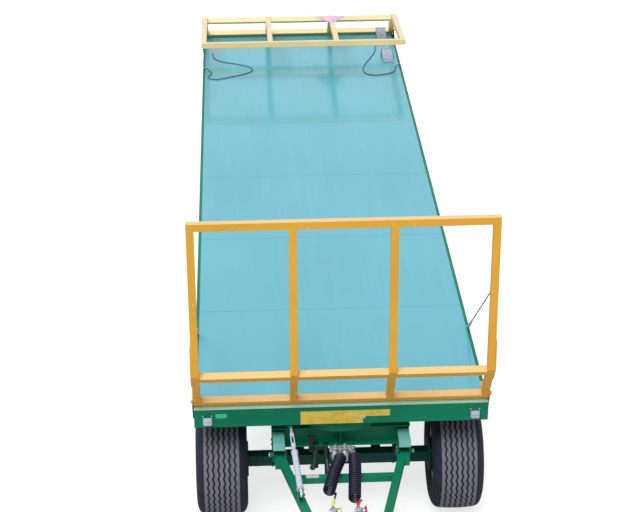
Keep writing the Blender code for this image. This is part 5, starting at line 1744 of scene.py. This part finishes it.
@dataclass
class GuideHooks:
    """The bent hooks and relay valve at the bogie's channel, the pins' covers and a pale patch on the cross
    bar.
    """

    shelf: FinishShelf
    cover_half: float = 0.0485

    def build(self) -> None:
        """Build the four groups one after the other."""
        self.hooks()
        self.relay()
        self.covers()
        # A thin pale patch on the cross bar's top face
        patch = Shape().box(at(-0.310, -0.380, 0.8277), at(-0.205, -0.332, 0.8287))
        patch.piece("cross_bar_label", self.shelf["white label"], "drawbar", "sign_plastic", bevel=0.0003)
        LOG.info("guide hooks, relay valve, pin covers, cross bar pale patch")

    def hooks(self) -> None:
        """Bend the hooks under the channel."""
        hooks = Shape()
        # Each hook: place across, lean, drop, sweep forward, radius
        for across, lean, drop, sweep, radius in (
            (-0.210, -0.022, 0.175, 0.030, 0.024),
            (-0.125, 0.022, 0.225, 0.070, 0.021),
        ):
            route = (
                at(across, 0.128, 0.838),
                at(across, 0.122, 0.790),
                at(across + lean * 0.25, 0.112, CHANNEL_BOTTOM - drop * 0.50),
                at(across + lean * 0.70, 0.105 - sweep, CHANNEL_BOTTOM - drop * 0.88),
                at(across + lean * 1.10, 0.092 - sweep, CHANNEL_BOTTOM - drop),
                at(across + lean * 1.45, 0.070 - sweep, CHANNEL_BOTTOM - drop * 0.94),
            )
            hooks.sweep(smooth_route(route, 0.010), radius, 14)
        hooks.piece("guide_hooks", self.shelf["hook green"], "bogie", "green_paint", smooth=60, bevel=0.003)

    def relay(self) -> None:
        """Hang the relay valve under the channel, and join it to a small valve above."""
        relay = Shape().box(at(-0.268, 0.112, 0.770), at(-0.232, 0.150, CHANNEL_BOTTOM - FIT_GAP))
        relay.box(at(-0.262, 0.085, 0.776), at(-0.228, 0.113, 0.812))
        relay.rod(at(-0.232, 0.131, 0.795), at(-0.150, 0.131, 0.795), 0.0215, 24)
        relay.hex_head(at(-0.250, 0.085, 0.796), (0, -1, 0), 0.022, 0.014)
        relay.hex_head(at(-0.150, 0.131, 0.795), (1, 0, 0), 0.030, 0.012)
        relay.box(at(-0.272, 0.083, 0.868), at(-0.226, 0.1055, 0.930))
        relay.rod(at(-0.249, 0.094, 0.868), at(-0.249, 0.094, 0.812), 0.007, 12)
        relay.hex_head(at(-0.249, 0.083, 0.900), (0, -1, 0), 0.020, 0.012)
        relay.piece("relay_valve", self.shelf["black paint"], "bogie", "black_paint", bevel=0.002)

    def covers(self) -> None:
        """Bend the sloping covers over the drawbar's pins."""
        covers = Shape()
        # The cover's section: place and height of each corner
        section = (
            (0.130, 0.9503),
            (0.130, 0.9540),
            (-0.067, 0.9540),
            (-0.0745, 0.900),
            (-0.0705, 0.900),
            (-0.0645, 0.9503),
        )
        for side in Side:
            middle = side.value * PIVOT_SPREAD
            ends = []
            for x in (middle - self.cover_half, middle + self.cover_half):
                ends.append([covers.work.verts.new(at(x, place, height)) for place, height in section])
            covers.bridge(*ends)
            covers.work.faces.new(ends[0][::-1])
            covers.work.faces.new(ends[1])
        # Their pale green is a painted sheen of the sky on the sloping tops
        covers.piece("pin_covers", self.shelf["cover green"], "bogie", "green_paint", bevel=0.0012)


@dataclass
class StrutFittings:
    """The spring strut's collars and grease nipple, and its slotted rod with the lock nut."""

    shelf: FinishShelf
    top: Point = (-0.42, 0.075, 1.04)
    foot: Point = (-0.362, -0.70, 0.885)
    tube_radius: float = 0.025

    def build(self) -> None:
        """Fit the collars and the nipple on the tube, and build the rod's slotted head."""
        top, foot = at(*self.top), at(*self.foot)
        along = (top - foot).normalized()
        length = (top - foot).length
        collars = Shape()
        for start, reach in ((0.052, 0.0300), (length - 0.318, 0.0295)):
            bore = self.tube_radius + FIT_GAP
            ring = [(bore, 0.0), (reach, 0.002), (reach, 0.018), (bore, 0.020)]
            collars.lathe(ring, foot + along * start, along, 36)
        side = along.cross(Vector((1, 0, 0))).normalized()
        spot = foot + along * (length * 0.45) - side * self.tube_radius
        collars.hex_head(spot, -side, 0.010, 0.006)
        collars.rod(spot - side * 0.005, spot - side * 0.014, 0.0032, 12, 0.0022)
        collars.piece("strut_collars", self.shelf["pale zinc"], "strut_tube", "galvanised")
        head = Shape()
        across = Vector((1, 0, 0))
        turn = Matrix((across, along, across.cross(along))).transposed().to_4x4()
        # Bars along the rod: offset across, offset above, start and end before the upper pin, width, depth
        for offset, above, low, high, width, depth in (
            (-0.0125, 0.0, -0.215, -0.105, 0.009, 0.026),
            (0.0125, 0.0, -0.215, -0.105, 0.009, 0.026),
            (0.0, 0.0, -0.236, -0.205, 0.034, 0.030),
            (0.0, 0.0, -0.120, -0.092, 0.034, 0.030),
            (0.0, 0.0, -0.094, -0.060, 0.016, 0.050),
            (0.0, 0.01975, -0.062, 0.014, 0.016, 0.0105),
            (0.0, -0.01975, -0.062, 0.014, 0.016, 0.0105),
            (0.0, 0.0, 0.012, 0.026, 0.016, 0.050),
        ):
            middle = foot + along * (length + (low + high) / 2) + turn.to_3x3() @ Vector((offset, 0, above))
            size = Matrix.Diagonal((width, high - low, depth, 1.0))
            bmesh.ops.create_cube(head.work, size=1.0, matrix=Matrix.Translation(middle) @ turn @ size)
        head.rod(foot + along * (length - 0.450), foot + along * (length - 0.225), 0.0125, 24)
        nut = [(0.0120, 0.0), (0.020, 0.002), (0.020, 0.020), (0.0120, 0.022)]
        head.lathe(nut, foot + along * (length - 0.250), along, 6)
        bright = self.shelf["bright zinc"]
        head.piece("strut_head", bright, "strut_rod", "galvanised", ["strut_rod"], bevel=0.003)
        LOG.info("strut fittings")


@dataclass
class RearLamp:
    """A three-part rear lamp: its back, and amber, red and clear lenses with their ribs."""

    shelf: FinishShelf
    side: Side

    def build(self) -> None:
        """Model the lamp in its CAD node's place."""
        low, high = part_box("rear_lamp_" + self.side.word)
        back = Shape().box(low, (high.x, low.y + 0.030, high.z))
        back.piece(
            "lamp_back_" + self.side.word,
            self.shelf["black rubber"],
            "chassis",
            "lens_plastic",
            ["rear_lamp_" + self.side.word],
            bevel=0.006,
        )
        parts = (
            ("outer", "amber lens", 0.0, 0.27),
            ("middle", "red lens", 0.27, 0.74),
            ("inner", "clear lens", 0.74, 1.0),
        )
        width = high.x - low.x - 0.022
        outer = high.x - 0.011 if self.side is Side.RIGHT else low.x + 0.011
        for word, finish, start, end in parts:
            a = outer - self.side.value * width * start
            b = outer - self.side.value * width * end
            left, right = min(a, b) + 0.0006, max(a, b) - 0.0006
            lens = Shape()
            lens.box((left, low.y + 0.0302, low.z + 0.009), (right, high.y - 0.003, high.z - 0.009))
            count = int((right - left) / 0.007)
            for k in range(count):
                x = left + (k + 0.5) * (right - left) / count
                lens.rod((x, high.y - 0.0032, low.z + 0.014), (x, high.y - 0.0032, high.z - 0.014), 0.0021, 8)
            name = "lens_%s_%s" % (word, self.side.word)
            lens.piece(name, self.shelf[finish], "chassis", "lens_plastic", bevel=0.0015)
        LOG.info("rear lamp %s", self.side.word)


@dataclass
class WarningSign:
    """The blank face of the warning triangle on the folded frame."""

    shelf: FinishShelf
    fold: float = 84.5
    triangle_middle: float = 0.125
    plate_wall: float = 0.003
    corners: tuple[tuple[float, float], ...] = (
        (-0.155, 0.0),
        (0.155, 0.0),
        (0.182, 0.045),
        (0.035, 0.32),
        (-0.035, 0.32),
        (-0.182, 0.045),
    )

    def build(self) -> None:
        """Lay the border and the inner field on the plate, in the upright frame, and fold them with it."""
        hinge = at(0, DECK_LENGTH - FRAME_SETBACK, DECK_TOP + FRAME_RISE)
        fold = Matrix.Rotation(math.radians(self.fold), 4, "X")
        turn = Matrix.Translation(hinge) @ fold @ Matrix.Translation(-hinge)
        middle = (HALF_DECK - FRAME_TUBE / 2) / 3 - 0.012
        base = hinge.z + FRAME_KINK_RISE + FRAME_TUBE
        face = hinge.y + FRAME_KINK_OUT + FRAME_TUBE / 2 + FIT_GAP
        centre = Vector((middle, base + self.triangle_middle))
        corners = [Vector((middle + x, base + z)) for x, z in self.corners]
        # Both sheets take pale pink finishes: painted glare over the sign's red
        # Each sheet: its share of the plate, its height over it, its finish and its name
        for share, depth, finish, name in (
            (0.97, 0.0008, "sign red", "sign_border"),
            (0.66, 0.0014, "sign film", "sign_field"),
        ):
            for side_name, y, way in (("rear", face + self.plate_wall, 1), ("front", face, -1)):
                shape = Shape()
                rim = [centre + (c - centre) * share for c in corners]
                near = [shape.work.verts.new((c.x, y + way * 0.0001, c.y)) for c in rim]
                far = [shape.work.verts.new((c.x, y + way * depth, c.y)) for c in rim]
                shape.bridge(near, far)
                shape.work.faces.new(near[::-1])
                shape.work.faces.new(far)
                bmesh.ops.transform(shape.work, matrix=turn, verts=shape.work.verts)
                full_name = "%s_%s" % (name, side_name)
                shape.piece(full_name, self.shelf[finish], "rear_frame", "sign_plastic")
        LOG.info("warning sign")


@dataclass
class UnderLines:
    """The brake pipes and the lamp cable clipped along the chassis beams."""

    shelf: FinishShelf
    beam_across: float = 0.365
    height: float = 1.185
    first_clip: float = 1.3
    last_clip: float = 6.7
    clip_pitch: float = 0.9

    def build(self) -> None:
        """Run the pipes from the turntable to the tank and the rear axle."""
        for name, across, rise, start, end in (
            ("brake_pipe_supply", -self.beam_across, 0.0, 1.05, 6.75),
            ("brake_pipe_control", -self.beam_across, 0.02, 1.05, 6.75),
            ("lamp_cable", self.beam_across, 0.01, 0.25, 8.95),
        ):
            z = self.height + rise
            points = [at(across, start + k * (end - start) / 12, z) for k in range(13)]
            pipe = Shape().sweep(smooth_route(points, 0.08), 0.005, 10)
            pipe.piece(name, self.shelf["hose"], "chassis", "black_paint")
        clips = Shape()
        place = self.first_clip
        while place < self.last_clip:
            spot = at(-self.beam_across, place, self.height)
            clips.box(spot + Vector((-0.012, -0.008, -0.010)), spot + Vector((0.007, 0.008, 0.030)))
            place += self.clip_pitch
        clips.piece("pipe_clips", self.shelf["black rubber"], "chassis", "black_paint", bevel=0.001)
        LOG.info("under lines")


class CadDress:
    """Finishes for the CAD pieces that stay in view."""

    # Finish of each CAD node, by the start of its name; the first match counts
    FINISHES: tuple[tuple[str, str], ...] = (
        ("floor_sheet", "deck"),
        ("front_beam", "beam green"),
        ("side_rail", "rail green"),
        ("bogie_frame", "bogie green"),
        ("front_frame", "frame yellow"),
        # The rear frame takes a lit copy of the frame yellow: painted light
        ("rear_frame", "pale yellow"),
        # The axles take a darker copy of the body green: painted shade
        ("front_axle", "axle green"),
        ("rear_axle", "axle green"),
        # The triangle is painted pale pink: painted glare over its red
        ("warning_triangle", "sign film"),
        ("front_lamp", "lamp grey"),
        ("rear_lamp", "red lens"),
        ("wheel_chock", "chock zinc"),
        ("rope_hook", "pale zinc"),
        ("strut", "bright zinc"),
        ("leaf_spring", "black paint"),
        ("air_tank", "black paint"),
        ("coupling", "cast"),
        ("brake_valve", "cast"),
        ("tyre", "black rubber"),
        ("rim", "silver paint"),
        ("", "body green"),
    )

    def __init__(self, shelf: FinishShelf) -> None:
        """Keep the finishes."""
        self.shelf = shelf

    def build(self) -> None:
        """Give every CAD node its finish."""
        for name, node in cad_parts.items():
            finish = next(finish for start, finish in self.FINISHES if name.startswith(start))
            node.data.materials.clear()
            node.data.materials.append(self.shelf[finish])
        LOG.info("CAD pieces dressed")


def make_shelf() -> FinishShelf:
    """All the finishes."""
    return FinishShelf(
        (
            Paint("body green", Colour.BODY_GREEN, roughness=0.42, patchiness=0.14, specular=0.22),
            Paint(
                "beam green",
                Colour.BODY_GREEN,
                roughness=0.42,
                patchiness=0.14,
                specular=0.14,
                # The beam's top lip above the deck's level is painted pale: a painted highlight
                second=Colour.EDGE_PALE,
                second_zone=((-FAR, -FAR, DECK_TOP - 0.004), (FAR, FAR, FAR)),
            ),
            Paint(
                "rail green",
                Colour.BODY_GREEN,
                roughness=0.42,
                patchiness=0.14,
                specular=0.22,
                second=Colour.FRAME_YELLOW,
                second_zone=((-FAR, -FAR, DECK_TOP + 0.030), (FAR, FAR, FAR)),
            ),
            Paint(
                "bogie green",
                Colour.BODY_GREEN,
                roughness=0.42,
                patchiness=0.14,
                specular=0.22,
                second=Colour.HOOK_GREEN,
                second_zone=((-0.25, -FAR, 0.4), (-0.10, FAR, CHANNEL_BOTTOM - 0.002)),
            ),
            Paint("hook green", Colour.HOOK_GREEN, roughness=0.4, patchiness=0.2),
            # Painted sheen for the pin covers
            Paint("cover green", Colour.COVER_GREEN, roughness=0.30, patchiness=0.08),
            # The deck's base colour carries a painted reflection of the sky
            DeckPaint("deck", Colour.DECK_TEAL),
            Paint(
                "frame yellow",
                Colour.FRAME_YELLOW,
                roughness=0.40,
                patchiness=0.07,
                wear=Colour.FADED_YELLOW,
                wear_from=0.66,
                edge=0.003,
                specular=0.3,
                # Cream painted highlight on the front frame's top faces
                upper=Colour.CREAM,
            ),
            # Lit copy of the frame yellow for the folded rear frame, with a painted highlight on its top
            # faces: painted light
            Paint(
                "pale yellow",
                Colour.PALE_YELLOW,
                roughness=0.36,
                patchiness=0.07,
                wear=Colour.CREAM,
                wear_from=0.66,
                edge=0.003,
                upper=Colour.IVORY,
            ),
            # Painted shade: the axles' green darkened for the shade under the wagon
            Paint("axle green", Colour.AXLE_GREEN, roughness=0.5, patchiness=0.25, specular=0.2),
            Paint("silver paint", Colour.SILVER_PAINT, roughness=0.40, patchiness=0.08),
            Paint("black paint", Colour.SPRING_BLACK, roughness=0.45, patchiness=0.2),
            Zinc("zinc"),
            Zinc("pale zinc", Colour.ZINC, roughness=0.42, metallic=0.25, grain=90.0),
            Zinc("bright zinc", Colour.BRIGHT_ZINC, roughness=0.36, metallic=0.2, grain=90.0),
            Zinc("chock zinc", Colour.CHOCK_GREY, roughness=0.42, metallic=0.25, grain=40.0),
            Zinc("cast", Colour.CAST_SILVER, roughness=0.34, metallic=0.7, grain=120.0),
            TreadRubber("tyre"),
            Plastic("black rubber", Colour.DARK_RUBBER, roughness=0.55),
            Paint(
                "hose",
                Colour.HOSE_BLACK,
                roughness=0.30,
                patchiness=0.1,
                edge=0.0,
                specular=0.35,
                # Blue painted highlight on the hose's upper faces, darker underneath
                upper=Colour.HOSE_BLUE,
            ),
            Plastic("rope", Colour.ROPE_GREY, roughness=0.7, grain=400.0),
            Plastic("lamp grey", Colour.LENS_CLEAR, roughness=0.4),
            Plastic("clear lens", Colour.LENS_CLEAR, roughness=0.18, grain=90.0, coat=0.5),
            Plastic("red lens", Colour.LENS_RED, roughness=0.2, grain=90.0, coat=0.5),
            Plastic("amber lens", Colour.LENS_AMBER, roughness=0.2, grain=90.0, coat=0.5),
            Plastic("label yellow", Colour.LABEL_YELLOW, roughness=0.35),
            Plastic("label green", Colour.LABEL_GREEN, roughness=0.3),
            Plastic("white label", Colour.SILVER_PAINT, roughness=0.4),
            Plastic("sign film", Colour.SIGN_PINK, roughness=0.25),
            Plastic("sign red", Colour.SIGN_RED, roughness=0.25),
            Plastic("cap yellow", Colour.CAP_YELLOW, roughness=0.35),
            Plastic("cap red", Colour.CAP_RED, roughness=0.35),
        )
    )


# The coils' middle lines: across, distance behind the front edge, height
YELLOW_COIL = (
    (-0.010, -0.085, 0.845),
    (-0.032, -0.22, 0.885),
    (-0.072, -0.37, 0.900),
    (-0.110, -0.53, 0.895),
    (-0.140, -0.66, 0.888),
)
RED_COIL = (
    (0.100, -0.085, 0.860),
    (0.095, -0.22, 0.888),
    (0.085, -0.40, 0.900),
    (0.070, -0.60, 0.890),
    (0.058, -0.76, 0.880),
)


def main() -> None:
    """Build the stage, then dress the wagon piece by piece."""
    logging.basicConfig(level=logging.INFO, format="%(message)s")
    Studio().build()
    shelf = make_shelf()
    SlackRopes(shelf).build()
    CoiledHose(shelf, "yellow", "cap yellow", -0.12, YELLOW_COIL, -0.012).build()
    CoiledHose(shelf, "red", "cap red", 0.078, RED_COIL, 0.095).build()
    CadDress(shelf).build()
    for end in ("front", "rear"):
        for side in Side:
            Tyre(shelf, end + "_" + side.word).build()
            WheelDisc(shelf, end + "_" + side.word, side).build()
    for side in Side:
        FrontStay(shelf, side).build()
    FrontBeamFittings(shelf).build()
    BrakeFittings(shelf).build()
    for end, place, body in (
        ("front", FRONT_AXLE_PLACE, "bogie"),
        ("rear", REAR_AXLE_PLACE, "chassis"),
    ):
        for side in Side:
            LeafSpring(shelf, end + "_" + side.word, body).build()
        AxleFittings(shelf, end, place, body).build()
    HingeFittings(shelf, "front", FRAME_SETBACK, "chassis").build()
    HingeFittings(shelf, "rear", DECK_LENGTH - FRAME_SETBACK, "chassis").build()
    PivotFittings(shelf).build()
    GuideHooks(shelf).build()
    StrutFittings(shelf).build()
    for side in Side:
        RearLamp(shelf, side).build()
    WarningSign(shelf).build()
    UnderLines(shelf).build()


if __name__ == "__main__":
    main()
